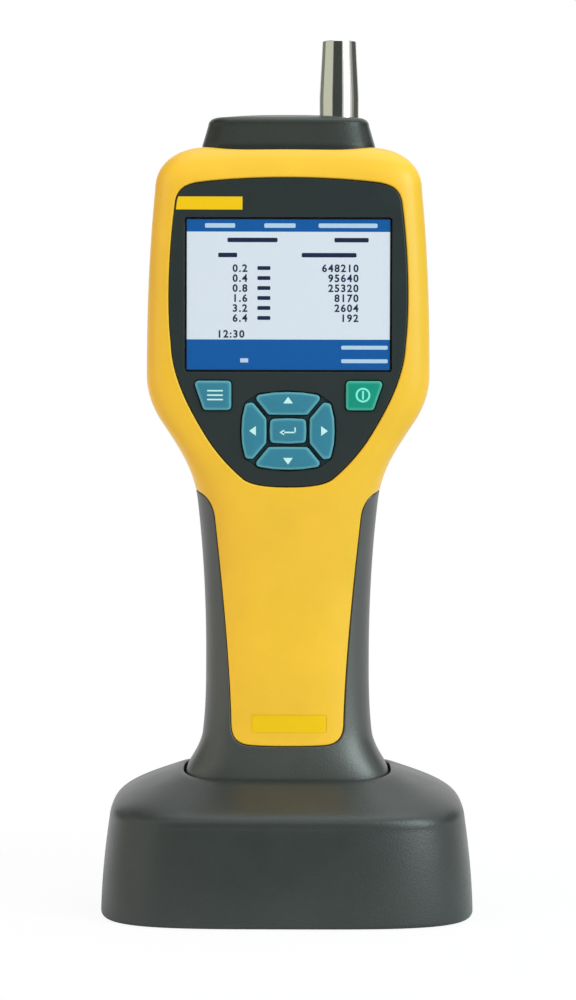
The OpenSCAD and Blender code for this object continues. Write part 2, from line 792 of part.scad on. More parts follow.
module blower_motor() color(steel) difference() {
    union() {
        rod_y(blower_x, blower_z, 8, blower_back + 2, blower_back + 14);
        for (x = [-4, 4]) rod_y(blower_x + x, blower_z + 3, 0.6, blower_back + 14, blower_back + 15.5);
    }
    rod_y(blower_x, blower_z, shaft_r + running_gap, blower_back + 1, blower_back + 5.4);
}

module sample_hose() color(white) difference() {
    rod_z(inlet_x, 0, hose_r, blower_z + 12.2, sensor_low - 0.4);
    rod_z(inlet_x, 0, spigot_r, blower_z + 12, sensor_low);
}

// Pleated exhaust cartridge in its can, with a spigot below and a nozzle above.
module exhaust_filter() color(white) difference() {
    union() {
        rod_z(filter_x, filter_y, filter_r, 171, 195);
        rod_z(filter_x, filter_y, 3, 195, 199);
        rod_z(filter_x, filter_y, spigot_r, 163, 171);
        for (a = [0:30:330]) translate([filter_x, filter_y, 172]) rotate([0, 0, a]) translate([filter_r, 0, 0])
            cylinder(r = 0.8, h = 22, $fn = 12);
    }
    rod_z(filter_x, filter_y, spigot_bore, 162, 193);
}

module hose_turn_at(x, side) translate([x, 0, hose_low_z + hose_turn]) rotate([90, 0, 0])
    rotate([0, 0, side < 0 ? 180 : 270]) rotate_extrude(angle = 90, $fn = 48)
        translate([hose_turn, 0]) difference() {
            circle(r = hose_r, $fn = 32);
            circle(r = spigot_r, $fn = 32);
        }

// U-shaped hose from the blower's outlet round to the cartridge's foot.
module exhaust_hose() color(white) {
    hose_turn_at(filter_x + hose_turn, -1);
    hose_turn_at(outlet_x - hose_turn, 1);
    difference() {
        union() {
            rod_z(filter_x, 0, hose_r, hose_low_z + hose_turn, 170.6);
            rod_z(outlet_x, 0, hose_r, hose_low_z + hose_turn, blower_z - 12.4);
            rod_x(0, hose_low_z, hose_r, filter_x + hose_turn, outlet_x - hose_turn);
        }
        rod_z(filter_x, 0, spigot_r, hose_low_z, 171);
        rod_z(outlet_x, 0, spigot_r, hose_low_z, blower_z);
        rod_x(0, hose_low_z, spigot_r, filter_x + hose_turn - 1, outlet_x - hose_turn + 1);
    }
}

// ---- Battery and small parts --------------------------------------------

// Two cells under one shrink sleeve.
module battery_pack() color([0.12, 0.25, 0.45]) battery_shape(0);

module battery_contacts() color(brass) for (x = [-8, 0, 8]) {
    block([x - 2, pack_y - 1.2, pack_high], [x + 2, pack_y - 0.4, 126]);
    block([x - 2, pack_y - 1.2, pack_high], [x + 2, pack_y + 4, pack_high + 0.6]);
}

module housing_screws() color(steel) for (p = screw_places)
    pan_screw(p, 1.3, 1, 2.5, back_skin(p) - 3.4, 1.7);

module door_screws() color(steel)
    pan_screw(door_screw_at, 1.3, 12, 3, back_skin(door_screw_at) - 0.8, 1.5);

module tripod_insert() color(brass) difference() {
    union() {
        rod_y(0, tripod_z, 4.6, 15, 24.6);
        rod_y(0, tripod_z, 5.3, 24.6, 25.6);
    }
    rod_y(0, tripod_z, 2.6, 16.5, 30);
}

module sounder() color(black) difference() {
    rod_y(18, 211, 7.5, 19.6, 24.4);
    rod_y(18, 211, 1.2, 22, 25);
}

// Contact block in the foot.
module foot_socket() {
    color(black) difference() {
        block([-13.9, -5.9, foot_z], [13.9, 5.9, foot_z + 5]);
        for (i = [-2:2]) block([5 * i - 1.4, -2.4, foot_z - 1], [5 * i + 1.4, 2.4, foot_z + 2.4]);
    }
    color(brass) for (i = [-2:2]) block([5 * i - 1.2, -2, foot_z + 2.4], [5 * i + 1.2, 2, foot_z + 2.8]);
}

// ---- Dock ----------------------------------------------------------------

dock_low_z = 0.2;
dock_square = 3.8;
well_square = 4;
dock_foot_r = 1.6;

// Side and front profiles as cubic curves [across, height], wall then shoulder.
side_wall = [[dock_w / 2, dock_low_z + dock_foot_r], [dock_w / 2 - 0.3, 14], [dock_w / 2 - 1.6, 25], [dock_w / 2 - 2.9, dock_wall_z]];
side_shoulder = [[dock_w / 2 - 2.9, dock_wall_z], [dock_w / 2 - 3.3, 41.2], [53.6, 43.7], [well_w / 2, dock_side_z]];
front_wall = [[dock_d / 2, dock_low_z + dock_foot_r], [dock_d / 2 - 0.3, 14], [dock_d / 2 - 1.3, 24], [dock_d / 2 - 2.6, dock_wall_z - 1]];
front_shoulder = [[dock_d / 2 - 2.6, dock_wall_z - 1], [dock_d / 2 - 2.9, 40.3], [36.5, 42.2], [well_d / 2, dock_front_z]];

function at_curve(p, t) = let (u = 1 - t)
    u * u * u * p[0] + 3 * u * u * t * p[1] + 3 * u * t * t * p[2] + t * t * t * p[3];

// A ring of the dock from its side profile s and its front profile f, t inside
// the outer face. The rim dips towards the front in step with the depth.
function dock_ring(s, f, t, count) = [
    for (j = [0:count - 1])
        let (
            p = plan_point(360 * j / count, s[0] - t, f[0] - t, f[0] - t, dock_square),
            dip = p[1] < 0 ? pow(-p[1] / (f[0] - t), 1.4) : 0
        )
        [p[0], p[1], s[1] - (s[1] - f[1]) * dip - t]
];

module dock_outer(t, count, steps) {
    low = dock_low_z - (t > 0 ? 4 : 0);
    foot = t > 0 ? [] : [for (a = [0:30:60])
        dock_ring([dock_w / 2 - dock_foot_r * (1 - sin(a)), dock_low_z + dock_foot_r * (1 - cos(a))],
            [dock_d / 2 - dock_foot_r * (1 - sin(a)), dock_low_z + dock_foot_r * (1 - cos(a))], 0, count)];
    base = t > 0 ? [lifted(plan(dock_w / 2 - t, dock_d / 2 - t, dock_d / 2 - t, dock_square, count), low)] : [];
    walls = [for (i = [0:steps / 2 - 1]) dock_ring(at_curve(side_wall, 2 * i / steps), at_curve(front_wall, 2 * i / steps), t, count)];
    shoulder = [for (i = [0:steps]) dock_ring(at_curve(side_shoulder, i / steps), at_curve(front_shoulder, i / steps), t, count)];
    loft(concat(base, foot, walls, shoulder, [lifted(plan(20, 12, 12, dock_square, count), dock_front_z - 4 - t)]));
}

// The well that the foot stands in, grown by g.
module well(g, low) {
    loft([
        lifted(plan(foot_w / 2 + 0.35 + g, grip_front + 2.9 + g, grip_back + 2.4 + g, well_square, inner_points), low),
        lifted(plan(foot_w / 2 + 0.5 + g, grip_front + 3.2 + g, grip_back + 2.7 + g, well_square, inner_points), 46),
        lifted(plan(well_w / 2 + g, well_d / 2 + g, well_d / 2 + g, well_square, inner_points), 56),
        lifted(plan(well_w / 2 + 2 + g, well_d / 2 + 2 + g, well_d / 2 + 2 + g, well_square, inner_points), 62)
    ]);
}

dock_board_z = 10.6;
jack_z = 17;
dc_x = -24;
net_x = 20;
base_top_z = 4.2;
dock_screw_places = [[-44, -28], [44, -28], [-44, 28], [44, 28]];
dock_board_places = [[-32, -22], [32, -22], [-32, 22], [32, 22]];

module dock_shell() color(charcoal) freeform() difference() {
    union() {
        difference() {
            dock_outer(0, 40, 8);
            dock_outer(dock_t, 28, 4);
        }
        intersection() {
            dock_outer(0.8, 28, 8);
            union() {
                well(2.4, foot_z - 2.6);
                for (p = dock_screw_places) rod_z(p[0], p[1], 4, base_top_z, 60, coarse);
            }
        }
    }
    well(0, foot_z);
    for (p = dock_screw_places) rod_z(p[0], p[1], 1.5, base_top_z - 1, base_top_z + 14, coarse);
    // Opening for the spring contacts in the well's floor.
    block([-14.2, -6.2, foot_z - 4], [14.2, 6.2, foot_z + 1]);
    // Openings for the two jacks at the back.
    rod_y(dc_x, jack_z, 5.7, 38, 60, 24);
    block([net_x - 8.3, 38, dock_board_z], [net_x + 8.3, 60, dock_board_z + 14.2]);
}

module dock_base() color(charcoal) difference() {
    inset = dock_t + 1.2;
    union() {
        translate([0, 0, 1.6]) linear_extrude(base_top_z - 1.6)
            polygon(plan(dock_w / 2 - inset, dock_d / 2 - inset, dock_d / 2 - inset, dock_square, 64));
        for (p = dock_board_places) rod_z(p[0], p[1], 3, base_top_z - 1, dock_board_z - 1.6);
    }
    for (p = dock_screw_places) {
        rod_z(p[0], p[1], 1.6, 0, 10);
        rod_z(p[0], p[1], 3.2, 0, 3.4);
    }
}

feet_places = [[-47, -15], [47, -15], [-47, 15], [47, 15]];

module dock_feet() color(black) for (p = feet_places)
    translate([p[0], p[1], 0]) cylinder(r1 = 5.5, r2 = 6, h = 1.6, $fn = exact);

// Two steel weights that keep the dock from tipping.
module dock_ballast() color(steel) for (x = [-1, 1]) difference() {
    block([x * 49 - 6, -15, base_top_z], [x * 49 + 6, 15, base_top_z + 18]);
    for (y = [-11, 11]) rod_z(x * 49, y, 1.6, base_top_z - 1, base_top_z + 20);
}

module dock_board() color(board_green) difference() {
    block([-36, -26, dock_board_z - 1.6], [36, 40, dock_board_z]);
    for (p = dock_board_places) rod_z(p[0], p[1], 1.2, 5, 15);
}

// Five sprung pins under the instrument's foot, on a tall block.
module dock_connector() {
    color(black) block([-13.8, -5.8, dock_board_z], [13.8, 5.8, foot_z - 0.2]);
    color(brass) for (i = [-2:2]) rod_z(5 * i, 0, 0.7, foot_z - 0.2, foot_z + 2.3);
}

module dc_jack() {
    color(black) difference() {
        union() {
            block([dc_x - 6, 26, dock_board_z], [dc_x + 6, 38, jack_z + 6]);
            rod_y(dc_x, jack_z, 5.5, 37, 44.6);
        }
        rod_y(dc_x, jack_z, 3.2, 30, 50);
    }
    color(steel) rod_y(dc_x, jack_z, 1, 29, 41);
}

module network_jack() color(steel) difference() {
    block([net_x - 8, 26, dock_board_z], [net_x + 8, 44.6, dock_board_z + 13.6]);
    block([net_x - 5.9, 31, dock_board_z + 2.6], [net_x + 5.9, 50, dock_board_z + 10.4]);
    block([net_x - 3, 31, dock_board_z + 9], [net_x + 3, 50, dock_board_z + 12.2]);
}

module dock_screws() color(steel) for (p = dock_screw_places) difference() {
    union() {
        rod_z(p[0], p[1], 1.4, 3.4, 14);
        rod_z(p[0], p[1], 2.8, 1.8, 3.4);
    }
    for (a = [0, 90]) translate([p[0], p[1], 1.6]) rotate([0, 0, a]) block([-1.6, -0.35, 0], [1.6, 0.35, 1.2]);
}

// ---- Assembly ------------------------------------------------------------

front_housing();
rear_housing();
top_cap();
front_bezel();
display_window();
display_module();
keypad_mat();
key_menu();
key_power();
key_up();
key_down();
key_left();
key_right();
key_enter();
key_domes();
keypad_board();
keypad_screws();
main_board();
board_screws();
sensor_block();
laser_module();
light_trap();
detector_cover();
inlet_probe();
inlet_seal();
inlet_fitting();
sample_hose();
blower_body();
blower_cover();
blower_wheel();
blower_motor();
exhaust_filter();
exhaust_hose();
battery_pack();
battery_contacts();
battery_door();
door_screws();
housing_screws();
tripod_insert();
sounder();
foot_socket();
dock_shell();
dock_base();
dock_feet();
dock_ballast();
dock_board();
dock_connector();
dc_jack();
network_jack();
dock_screws();
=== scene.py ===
"""Looks of a handheld particle counter that stands in its charging dock.

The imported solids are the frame. The mouldings, the bezel, the keys, the steel
inlet and the picture on the display are finer surfaces that stand for their
solids; every other solid keeps its shape and gets its own finish.
Shapes are worked out in millimetres and turned into metres in one place.
"""

import json
import math

import bmesh
import bpy
import numpy as np
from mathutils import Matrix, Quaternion, Vector

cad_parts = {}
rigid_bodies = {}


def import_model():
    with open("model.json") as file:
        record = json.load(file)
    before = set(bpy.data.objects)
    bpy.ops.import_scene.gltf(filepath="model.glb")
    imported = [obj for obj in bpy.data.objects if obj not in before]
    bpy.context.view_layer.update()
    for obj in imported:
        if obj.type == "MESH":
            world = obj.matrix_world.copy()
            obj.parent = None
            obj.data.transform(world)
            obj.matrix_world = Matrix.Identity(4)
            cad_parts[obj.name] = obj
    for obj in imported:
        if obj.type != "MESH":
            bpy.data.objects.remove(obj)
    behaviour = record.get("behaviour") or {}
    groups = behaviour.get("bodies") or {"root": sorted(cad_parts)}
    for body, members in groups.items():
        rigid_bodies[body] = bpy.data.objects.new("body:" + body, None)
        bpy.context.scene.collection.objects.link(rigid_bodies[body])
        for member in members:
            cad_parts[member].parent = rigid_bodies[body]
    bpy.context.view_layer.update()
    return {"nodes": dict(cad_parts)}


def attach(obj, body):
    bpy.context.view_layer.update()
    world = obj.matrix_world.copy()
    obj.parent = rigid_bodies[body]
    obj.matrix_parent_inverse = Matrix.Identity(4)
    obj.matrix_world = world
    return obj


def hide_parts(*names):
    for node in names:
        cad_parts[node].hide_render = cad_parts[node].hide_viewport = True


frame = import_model()

MM = 0.001

# ---- Driving sizes, as in the part's source ----

HEAD_W, HEAD_WIDE_Z, HEAD_TOP_Z, HEAD_CORNER_R = 97.0, 186.0, 264.4, 15.0
HEAD_FRONT, HEAD_BACK, FRONT_CORNER = 25.1, 27.0, 10.0
WALL = 2.2
GRIP_W, GRIP_FRONT, GRIP_BACK = 56.6, 19.5, 20.0
FOOT_W, FOOT_Z = 70.6, 33.0
BEZEL_FACE, BEZEL_T = 24.2, 2.4
DISPLAY_W, DISPLAY_H, DISPLAY_Z = 70.4, 52.4, 213.3
PAD_Z, KEY_RISE, KEY_GAP, KEY_CORNER = 167.1, 1.0, 0.3, 1.3
CAP_W, CAP_D, CAP_TOP_Z, CAP_SIDE_Z = 59.8, 39.0, 275.6, 271.5
CAP_DRAFT, CAP_ROUND, CAP_SQUARE = 2.2, 3.2, 5.0
INLET_X, INLET_TOP_Z, INLET_MOUTH_R, INLET_BASE_R, INLET_BORE_R = 17.4, 301.0, 5.9, 6.86, 5.0
DOCK_W, DOCK_D, DOCK_WALL_Z, DOCK_SIDE_Z, DOCK_FRONT_Z = 128.6, 92.0, 34.0, 50.4, 48.2
DOCK_T, DOCK_LOW_Z, DOCK_FOOT_R, DOCK_SQUARE = 2.6, 0.2, 1.6, 3.8
WELL_W, WELL_D, WELL_SQUARE = 72.0, 48.0, 4.0
CORNER_Z = HEAD_TOP_Z - HEAD_CORNER_R
PART_Y, NECK_Z, TONGUE_LOW_Z = 7.0, 146.6, 58.9
BEZEL_BACK = BEZEL_T - BEZEL_FACE
DOOR_HALF, DOOR_LOW_Z, DOOR_HIGH_Z = 17.0, 60.0, 124.0
FACE_Y = -BEZEL_FACE

SIDE_TRACK = [
    (FOOT_Z, FOOT_W / 2 - 0.3, 0), (48, FOOT_W / 2, -0.1), (52.5, FOOT_W / 2 - 1.95, -0.62),
    (62.5, GRIP_W / 2 + 1.05, -0.12), (90, GRIP_W / 2, 0), (143, GRIP_W / 2 + 2.9, 0.11),
    (157, HEAD_W / 2 - 13.1, 0.5), (170, HEAD_W / 2 - 5.1, 0.66), (HEAD_WIDE_Z, HEAD_W / 2, 0),
    (CORNER_Z, HEAD_W / 2 - 2.85, -0.1),
]
FRONT_TRACK = [
    (FOOT_Z, GRIP_FRONT + 2.2, 0), (50, GRIP_FRONT + 2.3, -0.1), (64, GRIP_FRONT + 0.3, -0.05),
    (90, GRIP_FRONT, 0), (112, GRIP_FRONT + 0.2, 0.02), (146, HEAD_FRONT - 0.35, 0.06),
    (158, HEAD_FRONT, 0), (HEAD_WIDE_Z, HEAD_FRONT, 0), (CORNER_Z, HEAD_FRONT, 0),
]
BACK_TRACK = [
    (FOOT_Z, GRIP_BACK + 1.7, 0), (50, GRIP_BACK + 1.8, -0.1), (64, GRIP_BACK + 0.2, 0),
    (90, GRIP_BACK, 0), (138, GRIP_BACK + 1, 0.1), (175, HEAD_BACK - 0.6, 0.08),
    (HEAD_WIDE_Z, HEAD_BACK, 0), (CORNER_Z, HEAD_BACK, 0),
]
SQUARE_TRACK = [
    (FOOT_Z, 4.2, 0), (60, 3.6, -0.03), (90, 3.1, 0), (138, 3.6, 0.03),
    (160, 6.6, 0.12), (HEAD_WIDE_Z, 8, 0.01), (CORNER_Z, 8.2, 0),
]

# ---- Sizes of the finer forms ----

HEAD_CROWN = 2.0  # fall of the head's top from its middle to its sides, flat in the source
SEAM, SEAM_LIP = 0.13, 0.4  # half of a joint's gap, and the round of its two edges
CAP_SEAM, CAP_FOOT_Z = 0.14, 260.5
LABEL_RECESS, LABEL_SINK = 0.22, 0.1
TAPER_LOW_Z = 281.9
ARROW_SIZE = 1.52
LIP_END, FLARE_END = 68, 75  # degrees where the round of a groove and of a hole ends
HOLE_LIP, WINDOW_LIP = 0.3, 0.25  # round of a hole's edge in a moulding and in the bezel
BEHIND_BEZEL_Y = -18
BACK_CUT = (20, 40)  # depths between which the back is cut through

# ---- Curves ----


def track(stations, z):
    """Value of a track at heights z: between two stations (height, value, slope) it is the
    cubic that meets both values and both slopes."""
    z = np.asarray(z, float)
    st = np.array(stations, float)
    i = np.clip(np.searchsorted(st[:, 0], z, side="right") - 1, 0, len(st) - 2)
    a, b = st[i], st[i + 1]
    h = b[..., 0] - a[..., 0]
    t = np.clip((z - a[..., 0]) / h, 0, 1)
    t2, t3 = t * t, t * t * t
    return (
        (2 * t3 - 3 * t2 + 1) * a[..., 1] + (t3 - 2 * t2 + t) * h * a[..., 2]
        + (3 * t2 - 2 * t3) * b[..., 1] + (t3 - t2) * h * b[..., 2]
    )


def cubic(p, t):
    """Point at t of the Bezier curve of four control points: with u = 1 - t it is
    u^3 p0 + 3 u^2 t p1 + 3 u t^2 p2 + t^3 p3."""
    p, t = np.array(p, float), np.asarray(t, float)[..., None]
    u = 1 - t
    return u**3 * p[0] + 3 * u * u * t * p[1] + 3 * u * t * t * p[2] + t**3 * p[3]


def chain(controls, steps):
    """Points of cubic curves that follow each other, without the last one. Each curve takes
    the last control point of the one before as its first."""
    t = np.arange(steps) / steps
    return np.concatenate([cubic(controls[i:i + 4], t) for i in range(0, len(controls) - 1, 3)])


def mirrored(half):
    """A closed outline from its right half, which runs from its top to its bottom on x = 0."""
    half = np.asarray(half, float)
    left = half[::-1] * (-1, 1)
    return np.concatenate([half, left[np.abs(left[:, 0]) > 0.01]])


def spaced(points, count):
    """The same closed outline with its points at equal distances along it."""
    p = np.asarray(points, float)
    p = np.concatenate([p, p[:1]])
    s = np.concatenate([[0], np.cumsum(np.linalg.norm(np.diff(p, axis=0), axis=1))])
    at = np.linspace(0, s[-1], count, endpoint=False)
    return np.stack([np.interp(at, s, p[:, k]) for k in range(p.shape[1])], axis=1)


def doubled_area(p):
    """Twice the area of a closed outline. It's below 0 where the outline runs clockwise."""
    return np.sum(p[:, 0] * np.roll(p[:, 1], -1) - np.roll(p[:, 0], -1) * p[:, 1])


def unit(n):
    return n / np.maximum(np.linalg.norm(n, axis=-1, keepdims=True), 1e-12)


def moved_in(outline, inset):
    """A closed outline moved inwards by inset along the mean normal of its two edges."""
    p = np.asarray(outline, float)
    d = np.roll(p, -1, 0) - np.roll(p, 1, 0)
    return p + inset * np.sign(doubled_area(p)) * unit(np.stack([-d[:, 1], d[:, 0]], 1))


def rounded(points, r, count=160):
    """Outline of a convex polygon grown by r: each corner is an arc of radius r about its point."""
    p = np.asarray(points, float)
    if doubled_area(p) < 0:
        p = p[::-1]
    e = np.roll(p, -1, 0) - p
    a1 = np.arctan2(-e[:, 0], e[:, 1])
    a0 = np.roll(a1, 1)
    turn = (a1 - a0 + math.pi) % (2 * math.pi) - math.pi
    s = np.linspace(0, 1, 9)
    a = a0[:, None] + turn[:, None] * s
    out = p[:, None, :] + r * np.stack([np.cos(a), np.sin(a)], -1)
    return spaced(out.reshape(-1, 2), count)


def box_outline(x0, x1, z0, z1):
    return np.array([[x0, z0], [x1, z0], [x1, z1], [x0, z1]], float)


def plate_outline(w, h, r, at=(0, 0), count=160):
    """Rounded rectangle w by h with corner radius r about at."""
    x, y = w / 2 - r, h / 2 - r
    return rounded(box_outline(-x, x, -y, y), r, count) + np.array(at, float)


def circle(x, z, r, count=64):
    a = 2 * math.pi * np.arange(count) / count
    return np.stack([x + r * np.cos(a), z + r * np.sin(a)], 1)


def stadium(x, z, length, width, upright=False):
    """A slot's outline: two half circles joined by straight sides, its whole length given."""
    half, thin = (length - width) / 2, 0.001
    flat = rounded(box_outline(-half, half, -thin, thin), width / 2, 72)
    return (flat[:, ::-1] if upright else flat) + np.array([x, z])


def signed_power(v, k):
    """The size of v to the power k, with the sign of v."""
    return np.sign(v) * np.abs(v) ** k


def spread_angles(count, k):
    """Angles of one turn. The tan of each is the tan of an even angle to the power k, so they
    are closer together at the corners where k is below 1, and further apart above 1."""
    a = 2 * math.pi * (np.arange(count) + 0.5) / count
    return np.arctan2(signed_power(np.sin(a), k), signed_power(np.cos(a), k))


def superellipse(w, d, n, count=360):
    """Points (w cos^(2/n), d sin^(2/n)) of a superellipse, signs kept, at spread angles."""
    a = spread_angles(count, 1.25)
    return np.stack([w * signed_power(np.cos(a), 2 / n), d * signed_power(np.sin(a), 2 / n)], 1)


def at_depth(outline, y):
    """The points of an outline seen from the front, at depth y."""
    return np.stack([outline[:, 0], np.full(len(outline), y), outline[:, 1]], -1)


def at_height(outline, z):
    """The points of an outline seen from above, at height z."""
    return np.column_stack([outline, np.full(len(outline), z)])


def round_edge(r, degrees):
    """Steps of an edge rounded by r: at each angle a, r (1 - sin a) short of the end and
    r (1 - cos a) in from the side."""
    a = np.radians(degrees)
    return list(zip(r * (1 - np.sin(a)), r * (1 - np.cos(a))))


# ---- Outer form of the instrument ----


def body_sizes(s):
    """Half width, front, back, squareness and height of the body at station s.

    Up to CORNER_Z a station is a height. Past it, a station runs on for HEAD_CORNER_R times
    the angle a of the rounded top: each half size shrinks by its radius times 1 - cos a and
    the height grows by the radius times sin a."""
    s = np.asarray(s, float)
    z = np.minimum(s, CORNER_Z)
    a = np.clip((s - CORNER_Z) / HEAD_CORNER_R, 0, math.pi / 2)
    side, front, back = track(SIDE_TRACK, z), track(FRONT_TRACK, z), track(BACK_TRACK, z)
    pull = 1 - np.cos(a)
    return (
        side - HEAD_CORNER_R * pull, front - FRONT_CORNER * pull, back - FRONT_CORNER * pull,
        track(SQUARE_TRACK, z), z + HEAD_CORNER_R * np.sin(a),
    )


TOP_STATION = CORNER_Z + HEAD_CORNER_R * math.pi / 2


def crown_fall(x, tilt=1.0):
    """Fall of the crowned top at x: it grows with the square of the distance from the middle
    and of the tilt, which runs from 0 on the sides to 1 on the top."""
    return HEAD_CROWN * (tilt * x / (HEAD_W / 2)) ** 2


def body_point(angle, s, inset=0.0):
    """Point of the body at an angle about its axis and a station s.

    The section is a superellipse written in polar form: the radius is
    (|cos|^n + |sin|^n)^(-1/n), stretched by the half width and the front or the back."""
    w, f, b, n, z = body_sizes(s)
    a = np.clip((np.asarray(s, float) - CORNER_Z) / HEAD_CORNER_R, 0, math.pi / 2)
    c, k = np.cos(angle), np.sin(angle)
    r = (np.abs(c) ** n + np.abs(k) ** n) ** (-1 / n)
    thin = inset * np.cos(a)
    depth = np.where(k < 0, f, b) - thin
    x = (w - thin) * r * c
    rise = z - inset * np.sin(a) - crown_fall(x, np.sin(a))
    return np.stack(np.broadcast_arrays(x, depth * r * k, rise), -1)


def body_normal(angle, s):
    """Outward unit normal of the body, from central differences of body_point."""
    turn, step = 1e-3, 0.05
    along = body_point(angle + turn, s) - body_point(angle - turn, s)
    up = body_point(angle, s + step) - body_point(angle, s - step)
    return unit(np.cross(along, up))


def front_angle(x, s):
    """Angle of the place on the front that is x from the middle at station s."""
    w, f, b, n, z = body_sizes(s)
    share = np.clip(np.abs(x) / w, 0, 0.9999)
    return np.arctan2(-((1 - share**n) ** (1 / n)), np.sign(x) * share)


def side_angle(y, s):
    """Angle of the place on the right side that is y behind the middle plane at station s."""
    w, f, b, n, z = body_sizes(s)
    share = np.clip(np.abs(y) / np.where(y < 0, f, b), 0, 0.9999)
    return np.arctan2(np.sign(y) * share, (1 - share**n) ** (1 / n))


# ---- Meshes ----


def mesh_of(name, points, quads=None, polygons=()):
    """A mesh from points in millimetres, an array of quads and a few larger faces."""
    faces = [] if quads is None else quads.tolist()
    faces += [[int(corner) for corner in polygon] for polygon in polygons]
    mesh = bpy.data.meshes.new(name)
    mesh.from_pydata((np.asarray(points, float) * MM).tolist(), [], faces)
    mesh.validate()
    return mesh


def new_object(name, data):
    piece = bpy.data.objects.new(name, data)
    bpy.context.scene.collection.objects.link(piece)
    return piece


def drop(piece):
    """Removes an object and its shape."""
    shape = piece.data
    bpy.data.objects.remove(piece)
    bpy.data.meshes.remove(shape)


def points_of(mesh):
    co = np.zeros(len(mesh.vertices) * 3, np.float32)
    mesh.vertices.foreach_get("co", co)
    return co.reshape(-1, 3).astype(float)


def facing_out(mesh, weld=0.0):
    """Joins the points of a mesh that are nearer than weld and turns its faces outwards."""
    bm = bmesh.new()
    bm.from_mesh(mesh)
    if weld:
        bmesh.ops.remove_doubles(bm, verts=bm.verts, dist=weld)
    bmesh.ops.recalc_face_normals(bm, faces=bm.faces)
    bm.to_mesh(mesh)
    bm.free()


def grid_quads(rows, cols, wrap_rows=False, wrap_cols=True):
    """Quads between the neighbours of a grid of points, rows by cols."""
    i = np.arange(rows if wrap_rows else rows - 1)[:, None]
    j = np.arange(cols if wrap_cols else cols - 1)[None, :]
    i, j, i2, j2 = np.broadcast_arrays(i, j, (i + 1) % rows, (j + 1) % cols)
    q = np.stack([i * cols + j, i * cols + j2, i2 * cols + j2, i2 * cols + j], -1)
    return q.reshape(-1, 4)


def lofted(name, rings, closed_along=False):
    """A closed solid through a stack of rings with equal numbers of points. Its first and last
    ring are closed by one face each, or joined to each other where it's closed along."""
    rings = np.asarray(rings, float)
    rows, cols = rings.shape[:2]
    caps = [] if closed_along else [np.arange(cols)[::-1], (rows - 1) * cols + np.arange(cols)]
    mesh = mesh_of(name, rings.reshape(-1, 3), grid_quads(rows, cols, closed_along), caps)
    facing_out(mesh)
    return new_object(name, mesh)


def from_front(outline, depths):
    """Rings of an outline drawn as seen from the front: one for each (depth y, inset)."""
    p = np.asarray(outline, float)
    return [at_depth(moved_in(p, inset) if inset else p, y) for y, inset in depths]


def flared(name, outline, face_y, r, deep_y, curved=False):
    """A cutter whose mouth flares by r, so the hole's edge is rounded where it meets the face
    at depth face_y. The round stops at FLARE_END and runs on at that slope outside a flat
    face. A curved face may stand higher beside the hole, so there it runs on straight out."""
    out = 1 if face_y > deep_y else -1
    arc = [(face_y - out * short, -into) for short, into in round_edge(r, np.linspace(0, FLARE_END, 5))]
    run, spread = (6.0, 0.0) if curved else (0.4, math.tan(math.radians(FLARE_END)))
    last = (arc[-1][0] + out * run, arc[-1][1] - run * spread)
    return lofted(name, from_front(outline, [(deep_y, 0)] + arc + [last]))


def groove(name, points, normals, half_gap=SEAM, lip=SEAM_LIP, deep=3.4):
    """A closed cutter swept along a closed path on a surface: a slot half_gap to each side of
    the path, with lips rounded by the radius lip where it opens to the outside.

    Each section lies across the path: u along the surface, v along its normal. Past LIP_END
    the lip runs on at its slope until it is above the surface."""
    a = np.radians(np.linspace(0, LIP_END, 5))
    above, slope = 0.22, math.tan(math.radians(LIP_END))
    u = [half_gap] + list(half_gap + lip * (1 - np.cos(a)))
    v = [-deep] + list(-lip + lip * np.sin(a))
    u, v = np.array(u + [u[-1] + (above - v[-1]) * slope]), np.array(v + [above])
    u, v = np.concatenate([u, -u[::-1]]), np.concatenate([v, v[::-1]])
    p, n = np.asarray(points, float), np.asarray(normals, float)
    t = unit(np.roll(p, -1, 0) - np.roll(p, 1, 0))
    n = unit(n - t * np.sum(n * t, 1, keepdims=True))
    across = np.cross(t, n)
    rings = p[:, None] + u[None, :, None] * across[:, None] + v[None, :, None] * n[:, None]
    return lofted(name, rings, closed_along=True)


def worked_out(piece):
    """The mesh of an object as its modifiers or its curve make it."""
    ready = piece.evaluated_get(bpy.context.evaluated_depsgraph_get())
    return bpy.data.meshes.new_from_object(ready)


def carve(piece, cutters):
    """Cuts closed solids out of a piece and removes them."""
    for cutter in cutters:
        step = piece.modifiers.new("carve", "BOOLEAN")
        step.operation, step.solver, step.object = "DIFFERENCE", "MANIFOLD", cutter
    bpy.context.view_layer.update()
    old, mesh = piece.data, worked_out(piece)
    piece.modifiers.clear()
    piece.data = mesh
    bpy.data.meshes.remove(old)
    for cutter in cutters:
        drop(cutter)


def loose_parts(piece):
    """The unconnected parts of a piece, each as its own object, with their boxes in mm."""
    before = set(bpy.data.objects)
    for o in bpy.context.selected_objects:
        o.select_set(False)
    piece.select_set(True)
    bpy.context.view_layer.objects.active = piece
    bpy.ops.mesh.separate(type="LOOSE")
    found = []
    for o in [piece] + [o for o in bpy.data.objects if o not in before]:
        o.select_set(False)
        co = points_of(o.data) / MM
        found.append((o, co.min(0), co.max(0)))
    return found


def shaded(piece, angle=34):
    """Smooth shading with sharp edges where faces meet at more than the angle."""
    piece.data.shade_smooth()
    piece.data.set_sharp_from_angle(angle=math.radians(angle))
    piece.modifiers.new("normals", "WEIGHTED_NORMAL").keep_sharp = True
    return piece


def coat(piece, finish):
    piece.data.materials.clear()
    piece.data.materials.append(finish.material)


def dressed(piece, name, finish, node=None, body="instrument"):
    """Names a finished piece, gives it its finish and its body, and hides the solid it stands for."""
    piece.name = piece.data.name = name
    coat(piece, finish)
    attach(piece, body)
    if node:
        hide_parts(node)
    return piece


# ---- Finishes ----


